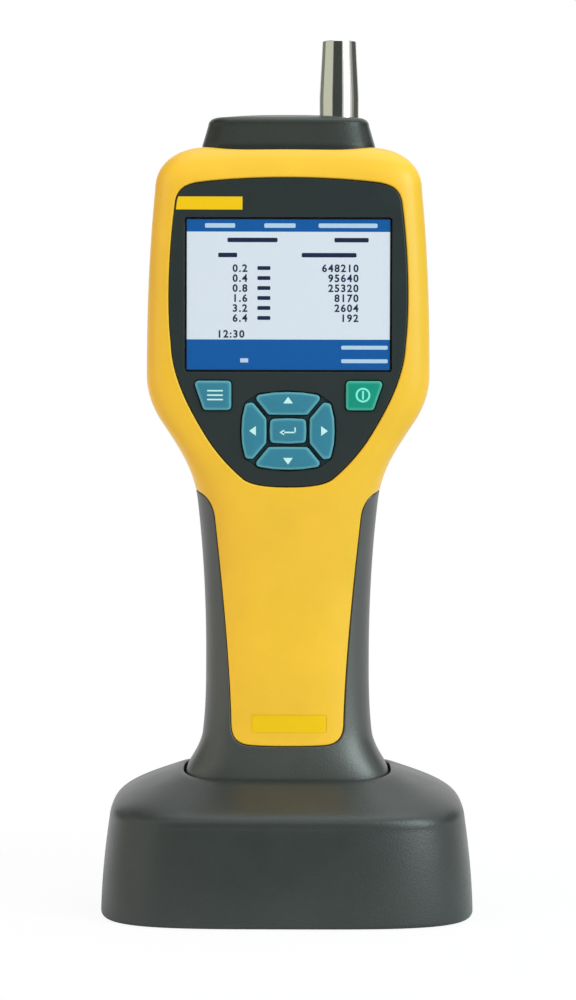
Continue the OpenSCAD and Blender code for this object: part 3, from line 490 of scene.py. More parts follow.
class Signal:
    """A value on its way between nodes. Arithmetic on it adds Math nodes to its graph."""

    def __init__(self, owner, socket):
        self.owner, self.socket = owner, socket

    def math(self, operation, a, b=0.0):
        return self.owner.node("ShaderNodeMath", {"operation": operation}, {0: a, 1: b})

    def __add__(self, other):
        return self.math("ADD", self, other)

    def __radd__(self, other):
        return self.math("ADD", other, self)

    def __sub__(self, other):
        return self.math("SUBTRACT", self, other)

    def __rsub__(self, other):
        return self.math("SUBTRACT", other, self)

    def __mul__(self, other):
        return self.math("MULTIPLY", self, other)

    def __rmul__(self, other):
        return self.math("MULTIPLY", other, self)


def linear(r, g, b):
    """A colour written in 0-255 display values, as the linear colour that a shader takes."""
    c = np.array([r, g, b], float) / 255
    return tuple(np.where(c <= 0.04045, c / 12.92, ((c + 0.055) / 1.055) ** 2.4)) + (1.0,)


class Graph:
    """Nodes of one tree, added one by one, with patterns in object coordinates."""

    def __init__(self, tree):
        self.tree, self._place = tree, None

    def node(self, kind, settings=None, sockets=None, output=0):
        """Adds a node: its settings first, then the values or links of its sockets."""
        made = self.tree.nodes.new(kind)
        for name, value in (settings or {}).items():
            setattr(made, name, value)
        for key, value in (sockets or {}).items():
            self.feed(made.inputs[key], value)
        return Signal(self, made.outputs[output])

    def feed(self, socket, value):
        if isinstance(value, Signal):
            self.tree.links.new(value.socket, socket)
        else:
            socket.default_value = value

    @property
    def place(self):
        if self._place is None:
            self._place = self.node("ShaderNodeTexCoord", output="Object")
        return self._place

    def along(self, axis):
        return self.node("ShaderNodeSeparateXYZ", None, {0: self.place}, axis)

    def stretched(self, scale):
        return self.node("ShaderNodeMapping", None, {"Vector": self.place, "Scale": scale})

    def noise(self, scale, detail=2.0, rough=0.5, at=None):
        return self.node("ShaderNodeTexNoise", None, {
            "Vector": at or self.place, "Scale": scale, "Detail": detail, "Roughness": rough})

    def drift(self, scale, amount):
        """Noise about 0 that spans the amount."""
        return (self.noise(scale) - 0.5) * amount

    def cells(self, scale):
        sockets = {"Vector": self.place, "Scale": scale}
        return self.node("ShaderNodeTexVoronoi", None, sockets, "Distance")

    def ramp(self, value, low, high):
        """0 below low, 1 above high and smooth between."""
        return self.node("ShaderNodeMapRange", {"interpolation_type": "SMOOTHSTEP"},
                         {"Value": value, "From Min": low, "From Max": high})

    def blend(self, mask, a, b):
        """Colour a where the mask is 0 and colour b where it is 1."""
        return self.node("ShaderNodeMix", {"data_type": "RGBA"}, {0: mask, 6: a, 7: b}, 2)

    def attribute(self, name):
        return self.node("ShaderNodeAttribute", {"attribute_name": name}, None, "Fac")

    def seen(self, *kinds):
        """1 for rays of these kinds: Camera, Glossy or Transmission."""
        rays = [self.node("ShaderNodeLightPath", output="Is %s Ray" % kind) for kind in kinds]
        total = rays[0]
        for ray in rays[1:]:
            total = total.math("MAXIMUM", total, ray)
        return total


class Finish(Graph):
    """A material being written: a principled surface whose constants are set on its sockets
    and whose patterns are Signals."""

    def __init__(self, name, colour, roughness, **constants):
        self.material = bpy.data.materials.new(name)
        self.material.use_nodes = True
        super().__init__(self.material.node_tree)
        self.surface = self.tree.nodes["Principled BSDF"]
        self.set(Base_Color=colour, Roughness=roughness, **constants)

    def set(self, **sockets):
        for name, value in sockets.items():
            self.feed(self.surface.inputs[name.replace("_", " ")], value)
        return self

    def relief(self, height, distance, strength=1.0):
        """Height in units of distance, in metres, as a bump of the surface."""
        return self.set(Normal=self.node("ShaderNodeBump", None, {
            "Height": height, "Distance": distance, "Strength": strength}))

    def show(self, shader):
        """Takes another shader as the surface."""
        self.feed(self.tree.nodes["Material Output"].inputs["Surface"], shader)


def tinted(colour, factor, warm=0.0):
    """The colour times a factor, a little warmer or cooler."""
    r, g, b, a = colour
    return (min(r * factor * (1 + warm), 1), min(g * factor, 1), min(b * factor * (1 - warm), 1), a)


def moulded(name, colour, roughness, grain=1.0, cloud=0.05, gloss=0.28):
    """Moulded plastic: a spark-eroded grain of two sizes, faint clouds in the colour and a
    gloss that changes a little from place to place."""
    f = Finish(name, colour, roughness, Specular_IOR_Level=gloss)
    clouds = f.ramp(f.noise(38, 3, 0.55), 0.32, 0.68)
    specks = f.ramp(f.noise(2600, 1), 0.35, 0.75)
    base = f.blend(clouds, tinted(colour, 1 - cloud, -0.01), tinted(colour, 1 + cloud, 0.01))
    f.set(Base_Color=f.blend(specks * 0.35, base, tinted(colour, 1 - 2 * cloud)),
          Roughness=roughness + f.drift(90, 0.1) + f.drift(1500, 0.08))
    height = f.noise(1500, 2, 0.6) * 0.7 + f.cells(1150) * 0.5 + f.noise(260, 1) * 0.15
    return f.relief(height, 0.00005 * grain, 0.8)


def rubbery(name, colour, pale_edge_and_highlight, roughness=0.42):
    """Silicone rubber: the rounded shoulder is paler where its edge attribute is 1, partly the thin rubber's
    own tone and partly a painted highlight.
    """
    f = Finish(name, colour, roughness, Specular_IOR_Level=0.3)
    dust = f.ramp(f.noise(220, 3, 0.6), 0.4, 0.75)
    base = f.blend(dust * 0.25, colour, tinted(colour, 1.12))
    # The paler shoulder is partly the rubber's own tone and partly a painted highlight of the rounded edge.
    f.set(Base_Color=f.blend(f.attribute("edge") * 0.85, base, pale_edge_and_highlight),
          Roughness=roughness + f.drift(700, 0.12))
    return f.relief(f.noise(2400, 2, 0.6), 0.00003, 0.6)


def turned_metal(name, colour, roughness, pitch=0.0004, around="Z"):
    """Metal turned on a lathe: fine rings across the axis, smeared along it."""
    f = Finish(name, colour, roughness, Metallic=1.0)
    fine = 1 / pitch
    rings = f.noise(1.0, 3, 0.6, f.stretched((60, 60, fine) if around == "Z" else (60, fine, 60)))
    smear = f.noise(1.0, 2, 0.5, f.stretched((300, 300, 25)))
    f.set(Base_Color=f.blend(smear * 0.35, colour, tinted(colour, 0.88)),
          Roughness=roughness + (rings - 0.5) * 0.10 + (smear - 0.5) * 0.08)
    return f.relief(rings, 0.000006, 0.5)


def plain(name, colour, roughness, metallic=0.0, scale=180, change=0.12, bump=0.00003):
    """A small part's finish: speckled colour and gloss at one scale."""
    f = Finish(name, colour, roughness, Metallic=metallic, Specular_IOR_Level=0.35)
    speckle = f.blend(f.noise(scale, 4, 0.6), tinted(colour, 1 - change), tinted(colour, 1 + change))
    f.set(Base_Color=speckle, Roughness=roughness + f.drift(scale * 3, 0.15))
    return f.relief(f.noise(scale * 6, 2), bump, 0.6)


def screen_field(name, colour, glow=0.45):
    """A field of the picture: flat colour with the fine grid of its dots. A part of the light
    is its own and the rest is reflected, and together they are the colour as written."""
    f = Finish(name, colour, 0.5, Specular_IOR_Level=0.1)
    pitch = DISPLAY_W / 320 * MM
    waves = [f.along(axis) * (2 * math.pi / pitch) for axis in "XZ"]
    across, up = [wave.math("SINE", wave) for wave in waves]
    dots = f.ramp(across * up, -1.0, 1.0)
    own, back = [f.blend(dots, tinted(colour, 0.95 * part), tinted(colour, 1.02 * part))
                 for part in (1, 1 - glow)]
    return f.set(**{"Base Color": back, "Emission Color": own, "Emission Strength": glow})


YELLOW = moulded("yellow_moulding", linear(243, 190, 50), 0.36, 0.9, 0.03, 0.36)
CHARCOAL = moulded("charcoal_moulding", linear(54, 57, 54), 0.42, 1.4, 0.07, 0.9)
CAP_GREY = moulded("cap_moulding", linear(43, 47, 43), 0.34, 1.2, 0.07, 0.3)
DOCK_GREY = moulded("dock_moulding", linear(48, 52, 51), 0.36, 1.4, 0.07, 0.5)
BEZEL_GREY = moulded("bezel_satin", linear(42, 50, 50), 0.36, 0.5, 0.05)
# The second colour of a key finish is its paler shoulder: partly the rubber's own tone, partly a painted
# highlight.
TEAL = rubbery("key_teal", linear(50, 124, 147), linear(92, 160, 172))
GREEN = rubbery("key_green", linear(5, 142, 120), linear(70, 172, 148))
MAT = rubbery("mat_dark_teal", linear(26, 52, 60), linear(30, 66, 78), 0.5)
INK = plain("key_print", linear(198, 236, 232), 0.4, scale=600, change=0.03)
MINT = plain("power_print", linear(128, 236, 216), 0.4, scale=600, change=0.03)
STEEL = turned_metal("inlet_steel", linear(214, 214, 206), 0.12)
BADGE = moulded("badge_enamel", linear(243, 195, 14), 0.3, 0.3, 0.02)
SCREEN_EDGE = plain("screen_edge", linear(12, 14, 18), 0.35)
SCREEN_BLUE = screen_field("screen_blue", linear(24, 97, 173))
SCREEN_PALE = screen_field("screen_pale", linear(234, 243, 255))
SCREEN_INK = screen_field("screen_ink", linear(34, 46, 78), 0.2)
SCREEN_LIGHT = screen_field("screen_light", linear(196, 224, 248))


# ---- Instrument body ----


def body_solid(name, inset, heights, around, arcs):
    """The closed body, inset inside its skin: one ring for each height, for each step of the
    rounded top and for four shares of the crowned top. The points are closer together at the
    corners the squarer the section is."""
    s = np.concatenate([heights, np.linspace(CORNER_Z, TOP_STATION, arcs + 1)[1:]])
    square = body_sizes(s)[3][:, None]
    rings = body_point(spread_angles(around, (2 / square) ** 0.6), s[:, None], inset)
    top = np.array([rings[-1] * (share, share, 1) for share in (0.8, 0.55, 0.3, 0.05)])
    top[:, :, 2] = HEAD_TOP_Z - crown_fall(top[:, :, 0]) - inset
    return lofted(name, np.concatenate([rings, top]))


def station_of(z):
    """Station of the place on the front or back that has height z."""
    rise = np.clip((np.asarray(z, float) - CORNER_Z) / HEAD_CORNER_R, 0, 1)
    return np.minimum(z, CORNER_Z) + HEAD_CORNER_R * np.arcsin(rise)


def on_skin(xz, turn):
    """Points and normals at places (x, z) of the front where turn is 1, and of the back at -1."""
    x, s = xz[:, 0], station_of(xz[:, 1])
    angle = turn * front_angle(x, s)
    return body_point(angle, s), body_normal(angle, s)


def on_front(xz):
    return on_skin(xz, 1)


def on_back(xz):
    return on_skin(xz, -1)


def on_top(xy):
    """Points and normals of the top at places (x, y). The step of the rounded top that passes
    through a place is found by halving, and the normal from the height's differences."""

    def height(x, y):
        low, high = np.zeros_like(x), np.full_like(x, math.pi / 2)
        for _ in range(40):
            mid = (low + high) / 2
            w, f, b, n, z = body_sizes(CORNER_Z + HEAD_CORNER_R * mid)
            depth = np.where(y < 0, f, b)
            outside = (np.abs(x) / w) ** n + (np.abs(y) / depth) ** n > 1
            high, low = np.where(outside, mid, high), np.where(outside, low, mid)
        return CORNER_Z + HEAD_CORNER_R * np.sin(low) - crown_fall(x, np.sin(low))

    x, y = xy[:, 0], xy[:, 1]
    d = 0.05
    slope_x = (height(x + d, y) - height(x - d, y)) / (2 * d)
    slope_y = (height(x, y + d) - height(x, y - d)) / (2 * d)
    n = unit(np.stack([-slope_x, -slope_y, np.ones_like(x)], 1))
    return np.stack([x, y, height(x, y)], 1), n


def parting_path():
    """The line between the yellow front and the charcoal back, as points and normals.

    Right half: round the tongue's foot, up its side, round the neck at NECK_Z, through a
    rounded corner and up the side at depth PART_Y to the middle of the top."""
    low, corner_r, join_x, join_z = TONGUE_LOW_Z, 6.0, 29.6, 140
    tongue = chain([
        (0, low), (4, low), (9, low), (13.5, low + 0.4), (17.5, 59.8), (19.2, 62), (19.4, 66),
        (20, 88), (22.8, 115), (25.2, 138), (25.9, 142.5), (28.5, 146), (33, NECK_Z)], 60)
    past_join = (tongue[:, 0] > join_x) & (tongue[:, 1] > join_z)
    x, z = tongue[~past_join].T
    angle, s = [front_angle(x, z)], [z]
    sweep, turn = np.linspace(0, 1, 41)[1:], np.linspace(0, math.pi / 2, 17)[1:]
    last = float(side_angle(np.array(PART_Y - corner_r), NECK_Z))
    angle.append(angle[0][-1] + (last - angle[0][-1]) * sweep)
    s.append(s[0][-1] + (NECK_Z - s[0][-1]) * np.minimum(sweep * 4, 1))
    up = np.concatenate([np.linspace(NECK_Z + corner_r + 1, CORNER_Z, 100),
                         np.linspace(CORNER_Z, TOP_STATION, 25)[1:]])
    for y, z in ((PART_Y - corner_r + corner_r * np.sin(turn), NECK_Z + corner_r * (1 - np.cos(turn))),
                 (np.full_like(up, PART_Y), up)):
        angle.append(side_angle(y, z))
        s.append(z)
    angle, s = np.concatenate(angle), np.concatenate(s)
    half = np.hstack([body_point(angle, s), body_normal(angle, s)])
    half[-1, 3:] = (0, 0, 1)
    top = np.linspace(half[-1, 0], 0, 30)[1:]
    flat = np.stack([top, np.full_like(top, PART_Y), HEAD_TOP_Z - crown_fall(top)], 1)
    half = np.vstack([half, np.hstack([flat, np.tile((0, 0, 1), (len(top), 1))])])
    left = half[1:-1][::-1] * (-1, 1, 1, -1, 1, 1)
    loop = spaced(np.vstack([half, left]), 900)
    return loop[:, :3], loop[:, 3:]


BEZEL_HALF = [
    (0, 252.9), (15, 252.9), (26, 251.8), (31, 251.1), (35.5, 250.2), (37.8, 248.5), (38.4, 244.5),
    (40.6, 228), (41.2, 209), (39.8, 196.6), (39.4, 186.5), (35, 177), (28.8, 166.7),
    (25.5, 161), (20.5, 155), (14.8, 150.4), (11.5, 148.4), (6, 148), (0, 148),
]
BEZEL_OUTLINE = spaced(mirrored(np.vstack([chain(BEZEL_HALF, 40), BEZEL_HALF[-1:]])), 520)


def patch(name, outline, surface, low, high):
    """A thin closed plate over a surface, between the offsets low and high along its normal.
    Its rings shrink from the outline to its middle."""
    middle = outline.mean(0)
    shares = np.array([1, 0.97, 0.8, 0.55, 0.3, 0.05])
    flat = middle + (outline[None] - middle) * shares[:, None, None]
    p, n = surface(flat.reshape(-1, 2))
    p, n = p.reshape(*flat.shape[:2], 3), n.reshape(*flat.shape[:2], 3)
    return lofted(name, np.concatenate([(p + low * n)[::-1], p + high * n]))


SCREWS = [(side * x, z) for x, z in ((41.2, 240), (41.2, 191), (21, 134)) for side in (-1, 1)]
SCREW_R, SCREW_SINK = 2.8, 7
DOOR_SCREW, DOOR_SCREW_R, DOOR_SCREW_Y = (0, DOOR_HIGH_Z - 4.5), 3.2, 12
TRIPOD, TRIPOD_R, TRIPOD_Y = (0, 170), 5.35, 14
SLOT_W, VENT_X, VENT_Z, VENT_PITCH, VENT_L = 2.0, -27, 172, 4.6, 16.0
SOUND_X, SOUND_Z, SOUND_PITCH, SOUND_L = 18, 211, 6, 12.0
FINGER_R, FINGER_HALF, FINGER_LOW_Z, FINGER_PITCH = 1.15, 8, DOOR_LOW_Z + 9, 4
LABEL = plate_outline(25.7, 6.2, 0.8, (0.65, 66.6), 200)
DOOR_MIDDLE = (0, (DOOR_LOW_Z + DOOR_HIGH_Z) / 2)
DOOR_OUTLINE = plate_outline(2 * DOOR_HALF, DOOR_HIGH_Z - DOOR_LOW_Z, 5, DOOR_MIDDLE, 420)


def back_skin(x, z):
    """Depth of the back at a place seen from behind."""
    return float(on_back(np.array([[x, z]], float))[0][0, 1])


def capsule(name, x0, x1, y, z, r):
    """A rod along x with half-sphere ends."""
    t = np.linspace(0.08, math.pi / 2, 8)
    xs = np.concatenate([x0 - r * np.cos(t), x1 + r * np.cos(t[::-1])])
    rs = np.concatenate([r * np.sin(t), r * np.sin(t[::-1])])
    ends = zip(xs, rs)
    return lofted(name, [np.column_stack([np.full(32, x), circle(y, z, q, 32)]) for x, q in ends])


def box_cutter(name, half_w, half_d, z0, z1):
    outline = box_outline(-half_w, half_w, -half_d, half_d)
    return lofted(name, [at_height(outline, z) for z in (z0, z1)])


def instrument_mouldings():
    """Front, back and battery door: one hollow body cut apart along its joints, each with
    rounded lips, and opened for the bezel, the cap, the vents and the screws."""
    shell = body_solid("shell", 0, np.linspace(FOOT_Z, CORNER_Z, 176), 264, 22)
    carve(shell, [body_solid("hollow", WALL, np.linspace(FOOT_Z + WALL, CORNER_Z, 60), 96, 8)])
    bezel_edge = moved_in(BEZEL_OUTLINE, -0.02)
    cap_edge = superellipse(CAP_W / 2, CAP_D / 2, CAP_SQUARE)
    cutters = [
        groove("parting", *parting_path()),
        groove("door_gap", *on_back(DOOR_OUTLINE), lip=0.3),
        groove("bezel_gap", *on_front(bezel_edge), half_gap=0.2, lip=0.5, deep=3.6),
        groove("cap_gap", *on_top(cap_edge), half_gap=CAP_SEAM, deep=3.2),
        patch("label_recess", LABEL, on_front, -LABEL_RECESS, 0.5),
    ]
    holes = [(at, SCREW_R, 64, back_skin(*at) - SCREW_SINK) for at in SCREWS]
    holes += [(DOOR_SCREW, DOOR_SCREW_R, 64, DOOR_SCREW_Y), (TRIPOD, TRIPOD_R, 96, TRIPOD_Y)]
    for at, r, count, deep_y in holes:
        hole = circle(*at, r, count)
        cutters.append(flared("back_hole", hole, back_skin(*at), HOLE_LIP, deep_y, True))
    slots = [stadium(VENT_X, VENT_Z + VENT_PITCH * i, VENT_L, SLOT_W) for i in range(5)]
    slots += [stadium(SOUND_X + SOUND_PITCH * i, SOUND_Z, SOUND_L, SLOT_W, True) for i in (-1, 0, 1)]
    cutters += [lofted("slot", from_front(slot, [(y, 0) for y in BACK_CUT])) for slot in slots]
    for z in FINGER_LOW_Z + FINGER_PITCH * np.arange(4):
        y = back_skin(0, z) + 0.3
        cutters.append(capsule("finger_groove", -FINGER_HALF, FINGER_HALF, y, z, FINGER_R))
    cutters.append(box_cutter("foot_opening", 14, 6, FOOT_Z - 1, FOOT_Z + WALL + 1))
    carve(shell, cutters)
    pieces = {}
    for part, low, high in loose_parts(shell):
        under_cap = low[2] > 255
        under_bezel = high[1] < -15 and low[2] > 140 and high[2] < 256
        if under_cap or under_bezel:
            drop(part)
        elif low[1] > 8 and high[2] < 130:
            pieces["battery_door"] = part
        elif high[1] < 10:
            pieces["front_housing"] = part
        else:
            pieces["rear_housing"] = part
    for node, name, finish, slot in (
            ("front_housing", "front_moulding", YELLOW, "yellow_plastic"),
            ("rear_housing", "back_moulding", CHARCOAL, "charcoal_plastic"),
            ("battery_door", "battery_lid", CHARCOAL, "charcoal_plastic")):
        dressed(shaded(pieces[node]), name, finish, node)
    plate = patch("grip_label", moved_in(LABEL, 0.12), on_front, -LABEL_RECESS - 0.02, -LABEL_SINK)
    dressed(shaded(plate), "grip_label", BADGE)


instrument_mouldings()

# ---- Cap and inlet ----


def inlet_turned(name, profile, count, closed_along=False):
    """A solid turned about the inlet's axis from the points (radius, height) of a profile."""
    rings = [at_height(circle(INLET_X, 0, r, count), z) for r, z in profile]
    return lofted(name, rings, closed_along)


def cap_moulding():
    """Cap: a drafted superellipse wall, a round shoulder of CAP_ROUND and a crown that falls
    with the square of the distance from its middle; bored for the inlet with a rounded lip."""

    def ring(z, inset, square=CAP_SQUARE, share=1.0):
        half_w, half_d = share * (CAP_W / 2 - inset), share * (CAP_D / 2 - inset)
        return at_height(superellipse(half_w, half_d, square), z)

    rings = [ring(z, CAP_SEAM) for z in np.linspace(CAP_FOOT_Z, HEAD_TOP_Z - 0.5, 5)]
    rings += [ring(HEAD_TOP_Z + t * (CAP_SIDE_Z - HEAD_TOP_Z), CAP_SEAM + t * (CAP_DRAFT - CAP_SEAM))
              for t in np.linspace(0, 1, 8)[:-1]]
    rise = CAP_ROUND - 0.6
    rings += [ring(CAP_SIDE_Z + rise * math.sin(a), CAP_DRAFT + CAP_ROUND * (1 - math.cos(a)))
              for a in np.radians(np.linspace(0, 88, 14))]
    crown = CAP_TOP_Z - CAP_SIDE_Z - rise
    rings += [ring(CAP_TOP_Z - crown * t * t, CAP_DRAFT + CAP_ROUND, CAP_SQUARE - 2 * (1 - t), t)
              for t in (0.99, 0.95, 0.88, 0.78, 0.66, 0.52, 0.38, 0.24, 0.12, 0.03)]
    cap = lofted("cap", rings)
    share = INLET_X / (CAP_W / 2 - CAP_DRAFT - CAP_ROUND)
    top = CAP_TOP_Z - crown * share * share
    r, lip = INLET_BASE_R + 0.1, 0.35
    steps = [(r, 250), (r, top - lip)]
    steps += [(r + into, top - short) for short, into in round_edge(lip, (20, 40, 60, 75))]
    carve(cap, [inlet_turned("inlet_hole", steps + [(r + lip + 1.3, top + 0.4)], 96)])
    dressed(shaded(cap), "cap_moulding", CAP_GREY, "top_cap")


cap_moulding()


def inlet():
    """Turned inlet: a thin rounded mouth, a long taper and a straight foot."""
    lip = [(INLET_MOUTH_R - short, INLET_TOP_Z - into)
           for short, into in round_edge(0.3, (0, 22, 45, 67, 90))]
    widening, taper_h = INLET_BASE_R - INLET_MOUTH_R, INLET_TOP_Z - TAPER_LOW_Z
    taper = [(INLET_MOUTH_R + widening * (0.25 * (3 * t * t - 2 * t**3) + 0.75 * t),
              INLET_TOP_Z - 0.4 - taper_h * t) for t in np.linspace(0.04, 1, 14)]
    mouth = [(INLET_BORE_R, INLET_TOP_Z - 0.15), (INLET_BORE_R + 0.15, INLET_TOP_Z)]
    foot = [(INLET_BASE_R, 276), (INLET_BASE_R, 270), (4.6, 270), (4.6, 262), (2, 262), (2, 273),
            (INLET_BORE_R, 283)]
    tube = inlet_turned("tube", mouth + lip + taper + foot, 128, closed_along=True)
    dressed(shaded(tube, 40), "inlet_tube", STEEL, "inlet_probe")


inlet()

# ---- Bezel, keys and display ----

MENU_AT, POWER_AT, PAD_AT = (-25.0, 179.0), (25.3, 179.0), (0.0, PAD_Z)
MENU_POINTS = np.array([[-5.36, 3.8], [4.4, 3.8], [4.4, -3.6], [-2.78, -3.6]])
POWER_POINTS = MENU_POINTS * (-1, 1)
ARROW_POINTS = np.array([
    [-9.5, 11], [-5, 11.7], [0, 11.9], [5, 11.7], [9.5, 11], [6, 6.75], [0, 6.7], [-6, 6.75]])
WING_POINTS = np.array([
    [-14.5, 0], [-14.3, 4.2], [-13.4, 8.2], [-12.5, 8.3], [-8.65, 3.7], [-8.6, 0],
    [-8.65, -3.7], [-12.5, -8.3], [-13.4, -8.2], [-14.3, -4.2]])
ENTER_POINTS = np.array([
    [-4.8, 2.8], [0, 3.05], [4.8, 2.8], [4.95, 0], [4.8, -2.8], [0, -3.05], [-4.8, -2.8], [-4.95, 0]])
PAD_HALF = np.array([
    [-9.5, 11.1], [0, 12], [9.5, 11.1], [13.3, 8.5], [14.35, 4.2], [14.6, 0], [14.35, -4.2], [13.3, -8.5]])
PAD_POINTS = np.vstack([PAD_HALF, PAD_HALF * (-1, -1)])


def front_bezel():
    """Bezel plate with a rounded rim, pierced for the display, the round key group and the
    two upper keys."""
    rim = [(FACE_Y + short, SEAM + into) for short, into in round_edge(0.4, np.linspace(0, 90, 6))]
    depths = [(BEZEL_BACK, SEAM), (FACE_Y + 1.2, SEAM)] + rim + [(FACE_Y, 0.62)]
    plate = lofted("bezel", from_front(BEZEL_OUTLINE, depths))
    upper_r = KEY_CORNER + KEY_GAP
    openings = [
        (plate_outline(DISPLAY_W, DISPLAY_H, 0.6, (0, DISPLAY_Z), 240), WINDOW_LIP),
        (rounded(PAD_POINTS, KEY_CORNER + 0.4, 240) + np.array(PAD_AT), HOLE_LIP),
        (rounded(MENU_POINTS, upper_r, 120) + np.array(MENU_AT), WINDOW_LIP),
        (rounded(POWER_POINTS, upper_r, 120) + np.array(POWER_AT), WINDOW_LIP),
    ]
    carve(plate, [flared("opening", outline, FACE_Y, lip, BEHIND_BEZEL_Y) for outline, lip in openings])
    dressed(shaded(plate, 30), "bezel_plate", BEZEL_GREY, "front_bezel")


front_bezel()


KEY_BACK_Y, KEY_SHOULDER, KEY_DOME = -20.6, 0.55, 0.22
KEY_FACE_Y = FACE_Y - KEY_RISE


def key_cap(word, points, at, finish):
    """A key: an upright wall, a rounded shoulder and a face that domes towards the key's middle
    as 1 - share^2. The edge attribute is 1 on the shoulder and fades out inside it."""
    outline = rounded(points, KEY_CORNER, 200) + np.array(at)
    steps = round_edge(KEY_SHOULDER, np.linspace(0, 90, 8))
    rings = from_front(outline, [(KEY_BACK_Y, 0)] + [(KEY_FACE_Y + short, into) for short, into in steps])
    # The edge attribute masks the paler shoulder, partly the rubber's own tone and partly a painted highlight.
    edge = [1.0] * len(rings)
    rim = moved_in(outline, KEY_SHOULDER)
    middle = rim.mean(0)
    for share in (0.94, 0.86, 0.72, 0.54, 0.34, 0.12):
        rings.append(at_depth(middle + (rim - middle) * share, KEY_FACE_Y - KEY_DOME * (1 - share**2)))
        edge.append(max(0.0, 1 - (1 - share) / 0.12) * 0.6)
    key = lofted(word, rings)
    mark = key.data.attributes.new("edge", "FLOAT", "POINT")
    mark.data.foreach_set("value", np.repeat(np.array(edge, np.float32), len(outline)))
    dressed(shaded(key, 50), word + "_key", finish, "key_" + word, "key_" + word + "_button")


key_cap("menu", MENU_POINTS, MENU_AT, TEAL)
key_cap("power", POWER_POINTS, POWER_AT, GREEN)
for word, points in (("up", ARROW_POINTS), ("down", ARROW_POINTS * (1, -1)), ("left", WING_POINTS),
                     ("right", WING_POINTS * (-1, 1)), ("enter", ENTER_POINTS)):
    key_cap(word, points, PAD_AT, TEAL)


def front_plate(outline, y0, y1):
    """Points and faces of a thin plate seen from the front, for joining into one mesh."""
    count = len(outline)
    points = np.concatenate([at_depth(outline, y1), at_depth(outline, y0)])
    i = np.arange(count)
    sides = np.stack([i, (i + 1) % count, (i + 1) % count + count, i + count], 1).tolist()
    return points, sides + [list(range(count)), list(range(2 * count - 1, count - 1, -1))]


def digits_as_plate(text, x, z, align="RIGHT"):
    """Plain digits as a thin plate: the font's outline made a little bolder and pressed to
    the depths of the picture's print. The digits' middle is at height z."""
    y0, y1 = PRINT_Y
    curve = bpy.data.curves.new("digits", "FONT")
    curve.body, curve.size, curve.align_x, curve.extrude = text, DIGIT_SIZE, align, (y1 - y0) / 2
    curve.offset, curve.space_character, curve.resolution_u = DIGIT_BOLD, DIGIT_SPACING, 3
    piece = new_object("digits", curve)
    mesh = worked_out(piece)
    co = points_of(mesh)
    points = np.column_stack([
        x + co[:, 0], (y0 + y1) / 2 - co[:, 2], z + co[:, 1] - 0.35 * DIGIT_SIZE])
    faces = [list(f.vertices) for f in mesh.polygons]
    bpy.data.objects.remove(piece)
    bpy.data.curves.remove(curve)
    bpy.data.meshes.remove(mesh)
    return points, faces


def joined(name, plates):
    """One closed mesh from several (points, faces)."""
    faces, start = [], 0
    for points, plate_faces in plates:
        faces += [[start + int(k) for k in face] for face in plate_faces]
        start += len(points)
    mesh = mesh_of(name, np.concatenate([points for points, _ in plates]), None, faces)
    facing_out(mesh, weld=1e-7)
    return new_object(name, mesh)


PICTURE_Y, PLATE_T = FACE_Y + 0.98, 0.06
PRINT_Y = (PICTURE_Y - 2 * PLATE_T, PICTURE_Y - PLATE_T)
HEADER_Z, FOOTER_Z, MARGIN = 234.6, 198.1, 0.75
ROW_Z, ROW_PITCH = 222.3, 3.38
DIGIT_SIZE, DIGIT_BOLD, DIGIT_SPACING = 3.5, 0.1, 1.22
LEFT, RIGHT = -DISPLAY_W / 2 + MARGIN, DISPLAY_W / 2 - MARGIN
LOW, HIGH = DISPLAY_Z - DISPLAY_H / 2 + MARGIN, DISPLAY_Z + DISPLAY_H / 2 - MARGIN
FIGURES = (("0.2", "648210"), ("0.4", "95640"), ("0.8", "25320"), ("1.6", "8170"), ("3.2", "2604"),
           ("6.4", "192"))
SIZE_X, BAR_X, COUNT_X = -13.9, -8.3, 23.8
CLOCK_X, CLOCK_Z = -24.2, 200.0


def display_picture():
    """The picture: a black edge, a pale field between two blue bars, three plain columns of
    figures, and bars where words would stand."""

    def field(name, outlines, depth, finish):
        y = PICTURE_Y - depth
        plates = [front_plate(outline, y, y + PLATE_T) for outline in outlines]
        dressed(joined(name, plates), name, finish)

    def bar(x, z, w, h=1.5, r=0.3):
        return plate_outline(w, h, r, (x, z), 72)

    edge = 0.6
    frame_box = box_outline(LEFT - edge, RIGHT + edge, LOW - edge, HIGH + edge)
    field("screen_edge", [frame_box], 0.0, SCREEN_EDGE)
    field("screen_field", [box_outline(LEFT, RIGHT, LOW, HIGH)], 0.05, SCREEN_PALE)
    blue = [box_outline(LEFT, RIGHT, HEADER_Z, HIGH), box_outline(LEFT, RIGHT, LOW, FOOTER_Z)]
    field("screen_bars", blue, 0.09, SCREEN_BLUE)
    light = [bar(x, (HEADER_Z + HIGH) / 2, w) for x, w in ((-23.2, 10.2), (-2.9, 10.6), (20.2, 20))]
    light += [bar(25.9, z, 15.8, 1.3) for z in (195.4, 190.8)]
    field("screen_light_marks", light + [box_outline(-16.3, -13.6, 190.3, 191.7)], 0.12, SCREEN_LIGHT)
    headings = ((-12.2, 231.8, 17), (21.4, 231.8, 11.6), (-20.6, 226.7, 6.4), (13.8, 226.7, 18.6))
    rows = [ROW_Z - ROW_PITCH * i for i in range(len(FIGURES))]
    bars = [bar(*at, r=0.25) for at in headings] + [bar(BAR_X, z, 4.4, 1.3) for z in rows]
    plates = [front_plate(outline, *PRINT_Y) for outline in bars]
    for z, (size, number) in zip(rows, FIGURES):
        plates += [digits_as_plate(size, SIZE_X, z), digits_as_plate(number, COUNT_X, z)]
    plates.append(digits_as_plate("12:30", CLOCK_X, CLOCK_Z, "LEFT"))
    dressed(joined("screen_figures", plates), "screen_figures", SCREEN_INK)


display_picture()


